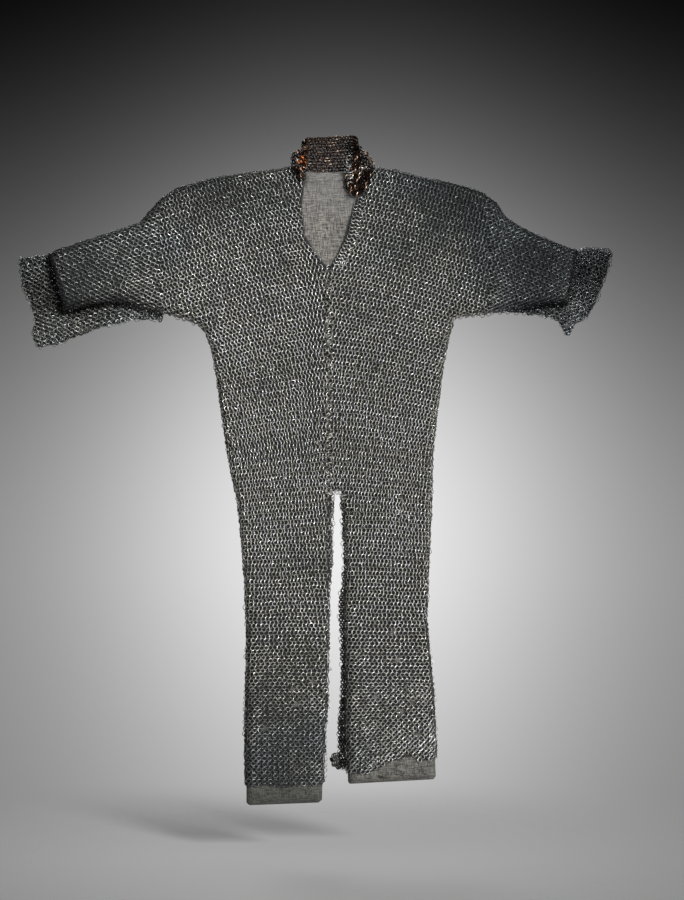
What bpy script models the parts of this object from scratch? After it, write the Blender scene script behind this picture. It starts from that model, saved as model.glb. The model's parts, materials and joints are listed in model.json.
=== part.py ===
# Suit of mail with a standing collar, short sleeves and trouser legs.
# Inside it is the linen-covered, padded form that holds it flat.
# Metres. +Z is up, the chest faces -Y, and left and right are the wearer's.
# The origin is the middle of the wall face of the cleat that the form hangs by.

from math import cos, dist, pi, radians, sin

import bmesh
import bpy
from mathutils import Matrix, Vector

# Fits and overruns
FIT = 0.0003  # between pieces that touch
OVERRUN = 0.004  # how far a cutter runs past what it cuts

# Thickness of each layer
CLEAT_DEPTH = 0.014
MAIL = 0.005
LINEN = 0.0015
BOARD = 0.012
PADDING = 0.018
FORM_ROUNDING = 0.016  # front edges of the padded form
SLOT = 0.005  # between the two layers of a slack cuff

# Rows of rings, which the mail's outer faces show as ridges
ROW_RELIEF = 0.0023
BODY_ROW = 0.0077
BODY_ROW_SLOPE = radians(9)  # up towards the middle of the chest
LEG_ROW = 0.0077
COLLAR_ROW_RELIEF = 0.0015

# Body, with heights above the origin and widths about the centre line
NECK_TOP = 0.143
NECK_HALF_WIDTH = 0.061
NECK_OPENING_WIDTH = 0.139
NECK_OPENING_DEPTH = 0.202
NECK_OPENING_SHIFT = 0.002
CLOSURE_WIDTH = 0.013
CLOSURE_SHIFT = -0.002
CROTCH_HEIGHT = -0.525
CROTCH_WIDTH = 0.018
CROTCH_SHIFT = 0.0143
HIP_DROP = 0.014  # from the crotch down to the seam between body and legs

# The two sides differ, as the suit hangs. Shares run from one named corner of the form to the next.
RIGHT = {
    "name": "right",
    "sign": -1,
    "shoulder_start": 0.078,
    "shoulder_height": 0.151,
    "armhole": 0.357,
    "arm_reach": 0.588,
    "arm_end_height": -0.031,
    "arm_end_width": 0.114,
    "arm_end_slant": 0.029,
    "chest": 0.258,
    "armpit": -0.193,
    "hip": 0.191,
    "hip_height": -0.546,
    "leg_outside": 0.176,
    "leg_inside": 0.017,
    "leg_bottom": -1.189,
    "leg_bottom_rise": 0.006,
    "hem_height": -1.145,
    "hem_rise": 0.003,
    "cuff_length": 0.069,
    "cuff_drop": 0.193,
    "slack_reach": 0.180,
    "slack_height": -0.172,
    "sleeve_row": 0.0063,
    "sleeve_row_slope": radians(17),
    "shoulder_shares": [
        (0.095, 0.034), (0.218, 0.080), (0.362, 0.149), (0.465, 0.230), (0.539, 0.356),
        (0.580, 0.483), (0.630, 0.644), (0.794, 0.793), (0.959, 0.943),
    ],
    "underarm_shares": [(0.18, -0.26), (0.36, -0.43), (0.60, -0.13), (0.81, 0.26), (0.94, 0.57)],
    "flank_shares": [(0.19, 0.107), (0.34, 0.256), (0.53, 0.524), (0.78, 0.82)],
    "outer_leg_shares": [(0.57, 0.13), (1.0, 0.26), (1.27, 0.46), (1.0, 0.72)],
    "inner_leg_shares": [
        (0.13, 0.208), (0.44, 0.348), (0.48, 0.52), (0.59, 0.69), (0.76, 0.776), (0.85, 0.92),
    ],
    "loose_edge_shares": [],
    "cuff_shares": [
        (0.97, 0.03), (1.0, 0.076), (0.91, 0.38), (0.70, 0.49),
        (0.515, 0.707), (0.606, 0.87), (0.42, 1.0), (-0.30, 0.957),
    ],
    "cuff_slot_shares": [(1.05, 0.10), (1.05, 0.90)],
    "slack_shares": [(0.32, 0.69), (0.66, 1.12), (0.89, 1.25)],
    "hem_shares": [(0.25, 1.0), (0.50, -0.5), (0.75, 1.3)],
}
LEFT = {
    "name": "left",
    "sign": 1,
    "shoulder_start": 0.099,
    "shoulder_height": 0.149,
    "armhole": 0.332,
    "arm_reach": 0.515,
    "arm_end_height": -0.023,
    "arm_end_width": 0.103,
    "arm_end_slant": 0.019,
    "chest": 0.258,
    "armpit": -0.162,
    "hip": 0.210,
    "hip_height": -0.546,
    "leg_outside": 0.223,
    "leg_inside": 0.038,
    "leg_bottom": -1.134,
    "leg_bottom_rise": -0.010,
    "hem_height": -1.086,
    "hem_rise": -0.029,
    "cuff_length": 0.084,
    "cuff_drop": 0.181,
    "slack_reach": 0.162,
    "slack_height": -0.140,
    "sleeve_row": 0.0078,
    "sleeve_row_slope": radians(19),
    "shoulder_shares": [
        (0.091, 0.024), (0.217, 0.110), (0.369, 0.183), (0.520, 0.293), (0.596, 0.415),
        (0.646, 0.598), (0.722, 0.720), (0.823, 0.841), (0.949, 0.963),
    ],
    "underarm_shares": [(0.23, 0.176), (0.584, 0.53), (0.76, 0.70), (0.91, 0.82)],
    "flank_shares": [(0.217, 0.094), (0.478, 0.25), (0.78, 0.54), (0.957, 0.75)],
    "outer_leg_shares": [(-0.46, 0.22), (-0.77, 0.43), (-0.31, 0.55), (0.35, 0.68), (0.83, 0.91)],
    "inner_leg_shares": [(0.14, 0.12), (0.14, 0.49), (0.14, 0.76), (0.26, 0.90), (0.50, 0.956)],
    "loose_edge_shares": [
        (0.77, 0.004), (0.88, 0.06), (1.0, 0.117), (0.89, 0.20), (0.68, 0.29), (0.66, 0.38),
        (0.845, 0.56), (0.83, 0.62), (0.59, 0.65), (0.49, 0.75), (0.60, 0.91), (0.79, 0.97),
    ],
    "cuff_shares": [
        (0.375, -0.047), (1.0, -0.012), (0.825, 0.279), (0.625, 0.51), (0.375, 0.744),
        (0.0, 0.86), (-0.17, 1.0),
    ],
    "cuff_slot_shares": [(1.10, 0.08), (0.25, 1.0)],
    "slack_shares": [(0.087, 0.446), (0.313, 0.64), (0.645, 0.72)],
    "hem_shares": [(0.19, 0.21), (0.28, -0.21), (0.50, 0.14), (0.66, 0.71), (0.82, 1.14)],
}
SIDES = (RIGHT, LEFT)

# Edge of the neck opening, as shares of its width and depth, from the right shoulder round to the left
NECK_OPENING_SHARES = [
    (0.076, 0.115), (0.03, 0.344), (0.076, 0.656), (0.258, 0.865), (0.42, 1.0), (0.50, 0.99),
    (0.59, 0.896), (0.71, 0.708), (0.82, 0.448), (0.91, 0.27), (1.0, 0.0),
]

# Standing collar, open in front, with leather thongs round its inside
COLLAR_HEIGHT = 0.074
COLLAR_HALF_WIDTH = 0.0615
COLLAR_OPEN_ANGLE = radians(62)  # to either side of straight ahead
COLLAR_STEPS = 18
THONG_COUNT = 12
THONG_HEIGHT = 0.0024
THONG_THICKNESS = 0.0012

# Loose front ends of the collar, as shares from the neck outwards and from the tip up
LAPPETS = {
    "right": {
        "inside": 0.050,
        "width": 0.032,
        "height": 0.065,
        "top_drop": 0.034,
        "lappet_shares": [
            (0.60, 1.0), (0.20, 0.94), (0.0, 0.52), (0.07, 0.19), (0.13, 0.0), (0.53, 0.16),
            (1.0, 0.55), (0.87, 0.87),
        ],
    },
    "left": {
        "inside": 0.034,
        "width": 0.059,
        "height": 0.105,
        "top_drop": 0.026,
        "lappet_shares": [
            (0.39, 1.0), (0.14, 0.72), (0.0, 0.42), (0.07, 0.12), (0.29, 0.0), (0.71, 0.12),
            (0.93, 0.36), (1.0, 0.62), (0.79, 0.82),
        ],
    },
}

# Mail that lies loose beyond the inner side of the left leg, and the tongue at its lower end
LOOSE_EDGE = 0.023
TONGUE_LENGTH = 0.016
TONGUE_SHARES = [(0.52, 0.09), (0.88, 0.31), (1.0, 0.62), (0.74, 0.78), (0.33, 0.88)]

# Joinery of the form
DOWEL_RADIUS = 0.0035
DOWEL_LENGTH = 0.050
DOWEL_CHAMFER = 0.001
ARM_DOWEL_SPREAD = 0.110
LEG_DOWEL_SPREAD = 0.090

# Cleat and its screws
CLEAT_WIDTH = 0.360
CLEAT_HEIGHT = 0.060
SCREW_RADIUS = 0.0025
SCREW_HEAD_RADIUS = 0.0048
SCREW_HEAD_DEPTH = 0.003
SCREW_HEAD_RECESS = 0.001
SCREW_BITE = 0.009  # into the body board
SCREW_END_MARGIN = 0.045
SCREW_EDGE_MARGIN = 0.017
ROUND_SIDES = 14

# Each finish: colour, roughness, metallic
FINISHES = {
    "mail": ((0.30, 0.31, 0.30), 0.45, 0.9),
    "large_rings": ((0.20, 0.21, 0.20), 0.5, 0.9),
    "rusty_mail": ((0.22, 0.11, 0.06), 0.55, 0.7),
    "leather": ((0.16, 0.07, 0.035), 0.75, 0.0),
    "linen": ((0.40, 0.37, 0.32), 0.95, 0.0),
    "wadding": ((0.80, 0.78, 0.72), 1.0, 0.0),
    "plywood": ((0.62, 0.47, 0.30), 0.7, 0.0),
    "beech": ((0.60, 0.42, 0.26), 0.6, 0.0),
    "zinc": ((0.55, 0.56, 0.58), 0.4, 1.0),
}

# Depths of the layers along Y, from the wall forwards
mail_back = -CLEAT_DEPTH - FIT
mail_back_inner = mail_back - MAIL
form_back = mail_back_inner - FIT
board_back = form_back - LINEN - FIT
board_front = board_back - BOARD
padding_back = board_front - FIT
padding_front = padding_back - PADDING
form_front = padding_front - FIT - LINEN
mail_front_inner = form_front - FIT
mail_front = mail_front_inner - MAIL
slack_front = mail_back - 2 * MAIL - SLOT

# Places that several pieces share
hip_seam = CROTCH_HEIGHT - HIP_DROP
collar_bottom = NECK_TOP + MAIL + 2 * FIT
collar_half_depth = (mail_back - mail_front) / (1 + cos(COLLAR_OPEN_ANGLE))
collar_middle = mail_back - collar_half_depth
cuff_gap = MAIL + 2 * FIT  # from the end of the form's arm to the root of the cuff


def clear_scene():
    for item in list(bpy.data.objects):
        bpy.data.objects.remove(item)


def add_piece(name, build, finish):
    """A bmesh as an object of the scene, in its finish, or as a hidden cutter if it has none."""
    bmesh.ops.recalc_face_normals(build, faces=build.faces)
    mesh = bpy.data.meshes.new(name)
    build.to_mesh(mesh)
    build.free()
    item = bpy.data.objects.new(name, mesh)
    bpy.context.scene.collection.objects.link(item)
    if finish is None:
        item.hide_render = True
        item.display_type = "WIRE"
    else:
        mesh.materials.append(material_for(name, finish))
    return item


def material_for(name, finish):
    colour, roughness, metallic = FINISHES[finish]
    material = bpy.data.materials.new(name)
    material.use_nodes = True
    shader = material.node_tree.nodes["Principled BSDF"]
    shader.inputs["Base Color"].default_value = (*colour, 1)
    shader.inputs["Roughness"].default_value = roughness
    shader.inputs["Metallic"].default_value = metallic
    return material


def set_pivot(item, pivot):
    """Moves a piece's origin to a point on the axis that it turns about."""
    item.data.transform(Matrix.Translation(-pivot))
    item.location = pivot


def carve(item, operation, tool):
    change = item.modifiers.new(tool.name, "BOOLEAN")
    change.operation = operation
    change.solver = "EXACT"
    change.object = tool


def between(start, end, shares):
    """Points that part from start towards end by shares of the way across and of the way up."""
    return [
        (start[0] + (end[0] - start[0]) * across, start[1] + (end[1] - start[1]) * up)
        for across, up in shares
    ]


def unit(x, z):
    length = (x * x + z * z) ** 0.5
    return x / length, z / length


def anticlockwise(outline):
    """The outline in the order that runs anticlockwise seen from the front."""
    turns = sum(a[0] * b[1] - b[0] * a[1] for a, b in zip(outline, outline[1:] + outline[:1]))
    return outline if turns > 0 else outline[::-1]


def grown(outline, amount):
    """An anticlockwise outline moved outwards, its corners kept square."""
    moved = []
    for index, (x, z) in enumerate(outline):
        before = outline[index - 1]
        after = outline[(index + 1) % len(outline)]
        a = unit(x - before[0], z - before[1])
        b = unit(after[0] - x, after[1] - z)
        stretch = amount / (1 + a[0] * b[0] + a[1] * b[1])
        moved.append((x + (a[1] + b[1]) * stretch, z - (a[0] + b[0]) * stretch))
    return moved


def prism(name, outline, back, front, rounding=0.0, finish=None):
    """The outline as a solid from back to front along Y, its front edge rounded."""
    steps = 3 if rounding else 0
    outline = anticlockwise(outline)
    layers = [(outline, back)]
    for step in range(steps + 1):
        angle = step / max(steps, 1) * pi / 2
        inwards = rounding * (1 - cos(angle))
        layers.append((grown(outline, -inwards), front + rounding * (1 - sin(angle))))
    build = bmesh.new()
    rings = [[build.verts.new((x, depth, z)) for x, z in points] for points, depth in layers]
    for ring, following in zip(rings, rings[1:]):
        for index in range(len(ring)):
            build.faces.new((ring[index - 1], ring[index], following[index], following[index - 1]))
    build.faces.new(rings[0])
    build.faces.new(rings[-1])
    return add_piece(name, build, finish)


def add_turned(build, start, along, stations):
    """Adds a round solid to the bmesh: its radius at each distance from start."""
    along = along.normalized()
    across = along.orthogonal().normalized()
    other = along.cross(across)
    rings = []
    for radius, distance in stations:
        centre = start + along * distance
        turns = [2 * pi * step / ROUND_SIDES for step in range(ROUND_SIDES)]
        rings.append(
            [build.verts.new(centre + radius * (cos(t) * across + sin(t) * other)) for t in turns]
        )
    for ring, following in zip(rings, rings[1:]):
        for index in range(ROUND_SIDES):
            build.faces.new((ring[index - 1], ring[index], following[index], following[index - 1]))
    build.faces.new(rings[0])
    build.faces.new(rings[-1])


def add_bar(build, start, end, section):
    """Adds a straight solid to the bmesh, with the same section all along."""
    ends = [[build.verts.new(place + offset) for offset in section] for place in (start, end)]
    for index in range(len(section)):
        build.faces.new((ends[0][index - 1], ends[0][index], ends[1][index], ends[1][index - 1]))
    build.faces.new(ends[0])
    build.faces.new(ends[1])


def turned(name, start, along, stations, finish):
    build = bmesh.new()
    add_turned(build, start, along, stations)
    item = add_piece(name, build, finish)
    item.data.shade_smooth()
    item.data.set_sharp_from_angle(angle=radians(40))
    return item


def standing_band(name, inset, thickness, bottom, height, spread, finish, rows=0):
    """Part of an upright oval wall round the neck, inset from the collar's outside."""
    build = bmesh.new()
    outside = [(0, height), (0, 0)]
    if rows:
        levels = [height * step / (2 * rows) for step in range(2 * rows, -1, -1)]
        outside = [((1 - step % 2) * COLLAR_ROW_RELIEF, level) for step, level in enumerate(levels)]
    sections = []
    for step in range(COLLAR_STEPS + 1):
        turn = spread * (2 * step / COLLAR_STEPS - 1)
        section = []
        for deeper, level in (*outside, (thickness, 0), (thickness, height)):
            x = (COLLAR_HALF_WIDTH - inset - deeper) * sin(turn)
            y = collar_middle + (collar_half_depth - inset - deeper) * cos(turn)
            section.append(build.verts.new((x, y, bottom + level)))
        sections.append(section)
    for section, following in zip(sections, sections[1:]):
        for index in range(len(section)):
            build.faces.new((section[index - 1], section[index], following[index], following[index - 1]))
    build.faces.new(sections[0])
    build.faces.new(sections[-1])
    return add_piece(name, build, finish)


def side_point(side, out, height):
    return (side["sign"] * out, height)


def arm_end(side):
    """The top and bottom corners of the end of one arm of the form."""
    reach, top = side["arm_reach"], side["arm_end_height"]
    bottom = side_point(side, reach - side["arm_end_slant"], top - side["arm_end_width"])
    return side_point(side, reach, top), bottom


def down_the_arm_end(side, out, down):
    """The point this far out from the arm's end and this far down along it from its top corner."""
    top, bottom = arm_end(side)
    x, z = unit(bottom[0] - top[0], bottom[1] - top[1])
    return (top[0] + x * down - side["sign"] * z * out, top[1] + z * down + side["sign"] * x * out)


def crotch_corner(side):
    return (CROTCH_SHIFT + side["sign"] * CROTCH_WIDTH / 2, CROTCH_HEIGHT)


def half_outline(side):
    """Half of the form's outline, from the neck round the arm and the leg, up to the crotch."""
    shoulder = side_point(side, side["shoulder_start"], side["shoulder_height"])
    top, bottom = arm_end(side)
    armpit = side_point(side, side["chest"], side["armpit"])
    hip = side_point(side, side["hip"], side["hip_height"])
    outside = side_point(side, side["leg_outside"], side["leg_bottom"])
    inside = side_point(side, side["leg_inside"], side["leg_bottom"] + side["leg_bottom_rise"])
    crotch = crotch_corner(side)
    return [
        side_point(side, NECK_HALF_WIDTH, NECK_TOP),
        shoulder,
        *between(shoulder, top, side["shoulder_shares"]),
        top,
        bottom,
        *between(bottom, armpit, side["underarm_shares"]),
        armpit,
        *between(armpit, hip, side["flank_shares"]),
        hip,
        *between(hip, outside, side["outer_leg_shares"]),
        outside,
        inside,
        *between(inside, crotch, side["inner_leg_shares"]),
        crotch,
    ]


def form_outline():
    return half_outline(RIGHT) + half_outline(LEFT)[::-1]


def rectangle(low_x, low_z, high_x, high_z):
    return [(low_x, low_z), (high_x, low_z), (high_x, high_z), (low_x, high_z)]


def section_outlines():
    """The areas, seen from the front, that the seams divide the suit and its form into."""
    seam = FIT / 2
    far = 2 * max(side["arm_reach"] for side in SIDES)
    below = 2 * min(side["leg_bottom"] for side in SIDES)
    right, left = -RIGHT["armhole"], LEFT["armhole"]
    return {
        "body": rectangle(right + seam, hip_seam + seam, left - seam, far),
        "right_arm": rectangle(-far, hip_seam, right - seam, far),
        "left_arm": rectangle(left + seam, hip_seam, far, far),
        "right_leg": rectangle(-far, below, CROTCH_SHIFT, hip_seam - seam),
        "left_leg": rectangle(CROTCH_SHIFT, below, far, hip_seam - seam),
    }


def through_region(name, outline):
    """A cutter that keeps one area of the suit through its whole depth."""
    return prism(name, outline, OVERRUN, mail_front - OVERRUN)


def make_form(outline, regions):
    """Board, padding and linen cover of each section of the form."""
    inner = grown(outline, -LINEN - FIT)
    hollow = prism(
        "cover_hollow",
        grown(outline, -LINEN),
        form_back - LINEN,
        form_front + LINEN,
        FORM_ROUNDING - LINEN,
    )
    dowel_holes = make_dowels()
    screw_holes = make_screws()
    for section, region in regions.items():
        board = prism(section + "_board", inner, board_back, board_front, finish="plywood")
        rounding = FORM_ROUNDING - LINEN - FIT
        padding = prism(
            section + "_padding", inner, padding_back, padding_front, rounding, "wadding"
        )
        cover = prism(
            section + "_linen_cover", outline, form_back, form_front, FORM_ROUNDING, "linen"
        )
        carve(cover, "DIFFERENCE", hollow)
        for item in (board, padding, cover):
            carve(item, "INTERSECT", region)
        carve(board, "DIFFERENCE", dowel_holes)
        if section == "body":
            carve(board, "DIFFERENCE", screw_holes)
            carve(cover, "DIFFERENCE", screw_holes)
    return screw_holes


def arm_middle(side):
    """Height of the middle of the arm where the form parts at the armhole."""
    x = side["sign"] * side["armhole"]
    outline = half_outline(side)
    heights = [
        a[1] + (b[1] - a[1]) * (x - a[0]) / (b[0] - a[0])
        for a, b in zip(outline, outline[1:])
        if min(a[0], b[0]) <= x < max(a[0], b[0])
    ]
    return (heights[0] + heights[1]) / 2


def dowel_places():
    """Name, middle and direction of each dowel that joins an arm or a leg to the body's board."""
    depth = (board_back + board_front) / 2
    places = []
    for side in SIDES:
        height = arm_middle(side)
        armhole = side["sign"] * side["armhole"]
        across = (side["sign"] * side["hip"] + CROTCH_SHIFT) / 2
        for word, share in (("upper", 0.5), ("lower", -0.5)):
            place = Vector((armhole, depth, height + share * ARM_DOWEL_SPREAD))
            places.append((f"{side['name']}_arm_dowel_{word}", place, Vector((1, 0, 0))))
        for word, share in (("outer", 0.5), ("inner", -0.5)):
            place = Vector((across + side["sign"] * share * LEG_DOWEL_SPREAD, depth, hip_seam))
            places.append((f"{side['name']}_leg_dowel_{word}", place, Vector((0, 0, 1))))
    return places


def make_dowels():
    """The dowels, and the cutter for their holes."""
    holes = bmesh.new()
    for name, middle, along in dowel_places():
        start = middle - along * DOWEL_LENGTH / 2
        narrow = DOWEL_RADIUS - DOWEL_CHAMFER
        stations = [
            (narrow, 0),
            (DOWEL_RADIUS, DOWEL_CHAMFER),
            (DOWEL_RADIUS, DOWEL_LENGTH - DOWEL_CHAMFER),
            (narrow, DOWEL_LENGTH),
        ]
        turned(name, start, along, stations, "beech")
        radius = DOWEL_RADIUS + FIT
        add_turned(holes, start, along, [(radius, -FIT), (radius, DOWEL_LENGTH + FIT)])
    return add_piece("dowel_holes", holes, None)


def make_screws():
    """The cleat's screws, and the cutter for their holes."""
    holes = bmesh.new()
    head = SCREW_HEAD_RECESS + SCREW_HEAD_DEPTH
    end = SCREW_BITE - board_back
    inwards = Vector((0, -1, 0))
    reach = CLEAT_WIDTH / 2 - SCREW_END_MARGIN
    rise = CLEAT_HEIGHT / 2 - SCREW_EDGE_MARGIN
    corners = [(x, z) for z in (rise, -rise) for x in (-reach, reach)]
    for index, (x, z) in enumerate(corners, 1):
        start = Vector((x, 0, z))
        stations = [
            (SCREW_HEAD_RADIUS, SCREW_HEAD_RECESS),
            (SCREW_HEAD_RADIUS, head),
            (SCREW_RADIUS, head),
            (SCREW_RADIUS, end),
        ]
        turned(f"cleat_screw_{index}", start, inwards, stations, "zinc")
        wide, narrow = SCREW_HEAD_RADIUS + FIT, SCREW_RADIUS + FIT
        hole = [(wide, -OVERRUN), (wide, head + FIT), (narrow, head + FIT), (narrow, end + FIT)]
        add_turned(holes, start, inwards, hole)
    return add_piece("screw_holes", holes, None)


def make_cleat(screw_holes):
    """A bar whose lower edge slopes up from the wall, to hook over its partner there."""
    low, high = -CLEAT_HEIGHT / 2, CLEAT_HEIGHT / 2
    build = bmesh.new()
    profile = [(0, low), (-CLEAT_DEPTH, low + CLEAT_DEPTH), (-CLEAT_DEPTH, high), (0, high)]
    end = Vector((CLEAT_WIDTH / 2, 0, 0))
    add_bar(build, -end, end, [Vector((0, y, z)) for y, z in profile])
    cleat = add_piece("hanging_cleat", build, "plywood")
    carve(cleat, "DIFFERENCE", screw_holes)


def row_grooves(name, middle, reach, row, slope, face, outwards):
    """A cutter for the grooves between rows of rings, in a flat face that looks outwards along Y."""
    build = bmesh.new()
    centre = Vector((middle[0], face, middle[1]))
    along = Vector((cos(slope), 0, sin(slope))) * 2 * RIGHT["arm_reach"]
    up = Vector((-sin(slope), 0, cos(slope)))
    half = up * (row / 2 - FIT)
    out = Vector((0, outwards, 0))
    count = int(reach / row)
    for step in range(-count, count + 1):
        place = centre + up * row * step
        section = [-out * ROW_RELIEF, out * FIT + half, out * FIT - half]
        add_bar(build, place - along, place + along, section)
    return add_piece(name, build, None)


def body_middle(side):
    """The middle of one half of the body, and how far its rows of rings reach up and down from there."""
    half_width = side["armhole"] / 2
    half_height = (collar_bottom - hip_seam) / 2
    middle = side_point(side, half_width, hip_seam + half_height)
    return middle, half_height + half_width * sin(BODY_ROW_SLOPE)


def sleeve_grooves(name, side, face, outwards):
    """Grooves that run along one sleeve and its cuff."""
    top, bottom = arm_end(side)
    x = (side["sign"] * side["armhole"] + top[0]) / 2
    z = (arm_middle(side) + (top[1] + bottom[1]) / 2) / 2
    reach = side["slack_reach"] + side["cuff_length"]
    return row_grooves(
        name, (x, z), reach, side["sleeve_row"], side["sleeve_row_slope"], face, outwards
    )


def leg_grooves(name, face, outwards):
    """Level grooves for both legs."""
    low, high = RIGHT["leg_bottom"], hip_seam
    return row_grooves(name, (0, (low + high) / 2), (high - low) / 2, LEG_ROW, 0, face, outwards)


def neck_opening():
    """The open front of the neck, from the shoulders down to the closure."""
    right = NECK_OPENING_SHIFT - NECK_OPENING_WIDTH / 2
    left = right + NECK_OPENING_WIDTH
    top = collar_bottom + COLLAR_HEIGHT
    edge = between((right, NECK_TOP), (left, NECK_TOP - NECK_OPENING_DEPTH), NECK_OPENING_SHARES)
    return through_region("neck_opening", [(right, top), (right, NECK_TOP), *edge, (left, top)])


def make_body_mail(outline, regions, hollow, screw_holes):
    """Back panel, the two front panels and the strip that closes them."""
    outside = grown(outline, FIT + MAIL)
    back = prism("back_mail", outside, mail_back, mail_back_inner, finish="mail")
    carve(back, "INTERSECT", regions["body"])
    carve(back, "DIFFERENCE", screw_holes)
    middle, reach = body_middle(RIGHT)
    rows = row_grooves("back_rows", (0, middle[1]), reach, BODY_ROW, 0, mail_back, 1)
    carve(back, "DIFFERENCE", rows)

    opening = neck_opening()
    right = CLOSURE_SHIFT - CLOSURE_WIDTH / 2
    left = CLOSURE_SHIFT + CLOSURE_WIDTH / 2
    top = collar_bottom + COLLAR_HEIGHT
    far = 2 * LEFT["arm_reach"]
    strips = {
        "right_front_mail": rectangle(-far, hip_seam + FIT / 2, right - FIT, top),
        "front_closure": rectangle(right, hip_seam + FIT / 2, left, top),
        "left_front_mail": rectangle(left + FIT, hip_seam + FIT / 2, far, top),
    }
    rounding = FORM_ROUNDING + MAIL
    for name, area in strips.items():
        finish = "large_rings" if name == "front_closure" else "mail"
        front = prism(name, outside, mail_back_inner - FIT, mail_front, rounding, finish)
        carve(front, "DIFFERENCE", hollow)
        carve(front, "DIFFERENCE", opening)
        carve(front, "INTERSECT", regions["body"])
        carve(front, "INTERSECT", through_region(name + "_area", area))
        if name == "front_closure":
            continue
        side = RIGHT if name.startswith("right") else LEFT
        middle, reach = body_middle(side)
        slope = -side["sign"] * BODY_ROW_SLOPE
        grooves = row_grooves(name + "_rows", middle, reach, BODY_ROW, slope, mail_front, -1)
        carve(front, "DIFFERENCE", grooves)


def make_sleeve(side, outline, region, hollow):
    """Sleeve over one arm of the form, with the slack mail that hangs below the arm."""
    name = side["name"] + "_sleeve_mail"
    outside = grown(outline, FIT + MAIL)
    sleeve = prism(name, outside, mail_back, mail_front, FORM_ROUNDING + MAIL, "mail")
    carve(sleeve, "INTERSECT", region)

    root = down_the_arm_end(side, MAIL, side["slack_reach"])
    armhole = side["armhole"] + FIT / 2
    seam = side_point(side, armhole, side["slack_height"])
    inside_the_arm = (side["arm_end_height"] + side["armpit"]) / 2
    area = anticlockwise(
        [
            root,
            *between(root, seam, side["slack_shares"]),
            seam,
            side_point(side, armhole, inside_the_arm),
            down_the_arm_end(side, MAIL, side["arm_end_width"] / 2),
        ]
    )
    slack = prism(side["name"] + "_slack", area, mail_back - FIT, slack_front)
    carve(slack, "DIFFERENCE", sleeve_grooves(name + "_slack_rows", side, slack_front, -1))
    front_rows = sleeve_grooves(name + "_front_rows", side, mail_front, -1)
    back_rows = sleeve_grooves(name + "_back_rows", side, mail_back, 1)
    slot_back, slot_front = mail_back_inner - FIT, slack_front + MAIL
    slot = prism(side["name"] + "_slack_slot", grown(area, -MAIL), slot_back, slot_front)
    low = side["slack_reach"] - 3 * MAIL
    mouth = prism(
        side["name"] + "_sleeve_mouth",
        [
            down_the_arm_end(side, -OVERRUN, 2 * MAIL),
            down_the_arm_end(side, MAIL + OVERRUN, 2 * MAIL),
            down_the_arm_end(side, MAIL + OVERRUN, low),
            down_the_arm_end(side, -OVERRUN, low),
        ],
        slot_back,
        slot_front,
    )
    carve(sleeve, "UNION", slack)
    for tool in (hollow, slot, mouth, front_rows, back_rows):
        carve(sleeve, "DIFFERENCE", tool)


def make_cuff(side):
    """Slack end of the sleeve, two layers of mail flat together, which folds forward at its root."""
    top, _ = arm_end(side)
    sign = side["sign"]
    far = (top[0] + sign * side["cuff_length"], top[1] - side["cuff_drop"])
    root_top = down_the_arm_end(side, cuff_gap, 0)
    root_bottom = down_the_arm_end(side, cuff_gap, side["slack_reach"])
    edge = between(top, far, side["cuff_shares"])
    name = side["name"] + "_cuff"
    cuff = prism(name, [root_top, *edge, root_bottom], mail_back, slack_front, finish="mail")
    inside = cuff_gap - OVERRUN
    hand = prism(
        name + "_mouth",
        [
            down_the_arm_end(side, inside, 2 * MAIL),
            *between(top, far, side["cuff_slot_shares"]),
            down_the_arm_end(side, inside, side["slack_reach"] - 3 * MAIL),
        ],
        mail_back_inner,
        slack_front + MAIL,
    )
    carve(cuff, "DIFFERENCE", hand)
    carve(cuff, "DIFFERENCE", sleeve_grooves(name + "_front_rows", side, slack_front, -1))
    carve(cuff, "DIFFERENCE", sleeve_grooves(name + "_back_rows", side, mail_back, 1))
    set_pivot(cuff, Vector((root_top[0], slack_front, root_top[1])))


def inner_hem_corner(side):
    return side_point(side, side["leg_inside"], side["hem_height"] + side["hem_rise"])


def loose_edge(side):
    """Edge of the mail that lies beyond the leg's inner side, from the hem up to the crotch."""
    low = inner_hem_corner(side)
    high = (low[0] - side["sign"] * LOOSE_EDGE, CROTCH_HEIGHT)
    return between(low, high, side["loose_edge_shares"])


def make_leg_mail(side, outline, hollow):
    """Trouser leg, a tube of mail down to its uneven hem."""
    seam = hip_seam - FIT / 2
    wide = side_point(side, 2 * side["hip"], side["hem_height"])
    outer = side_point(side, side["leg_outside"], side["hem_height"])
    inner = inner_hem_corner(side)
    area = [
        (wide[0], seam),
        wide,
        outer,
        *between(outer, inner, side["hem_shares"]),
        inner,
        (CROTCH_SHIFT, inner[1]),
        (CROTCH_SHIFT, seam),
    ]
    name = side["name"] + "_leg_mail"
    outside = grown(outline, FIT + MAIL)
    leg = prism(name, outside, mail_back, mail_front, FORM_ROUNDING + MAIL, "mail")
    edge = loose_edge(side)
    if edge:
        inside_the_leg = [(inner[0] + side["sign"] * LOOSE_EDGE, z) for z in (edge[-1][1], edge[0][1])]
        loose = prism(name + "_edge", edge + inside_the_leg, mail_back - FIT, slack_front)
        carve(loose, "DIFFERENCE", leg_grooves(name + "_edge_rows", slack_front, -1))
        carve(leg, "UNION", loose)
    carve(leg, "INTERSECT", through_region(name + "_area", area))
    carve(leg, "DIFFERENCE", hollow)
    carve(leg, "DIFFERENCE", leg_grooves(name + "_front_rows", mail_front, -1))
    carve(leg, "DIFFERENCE", leg_grooves(name + "_back_rows", mail_back, 1))


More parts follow.
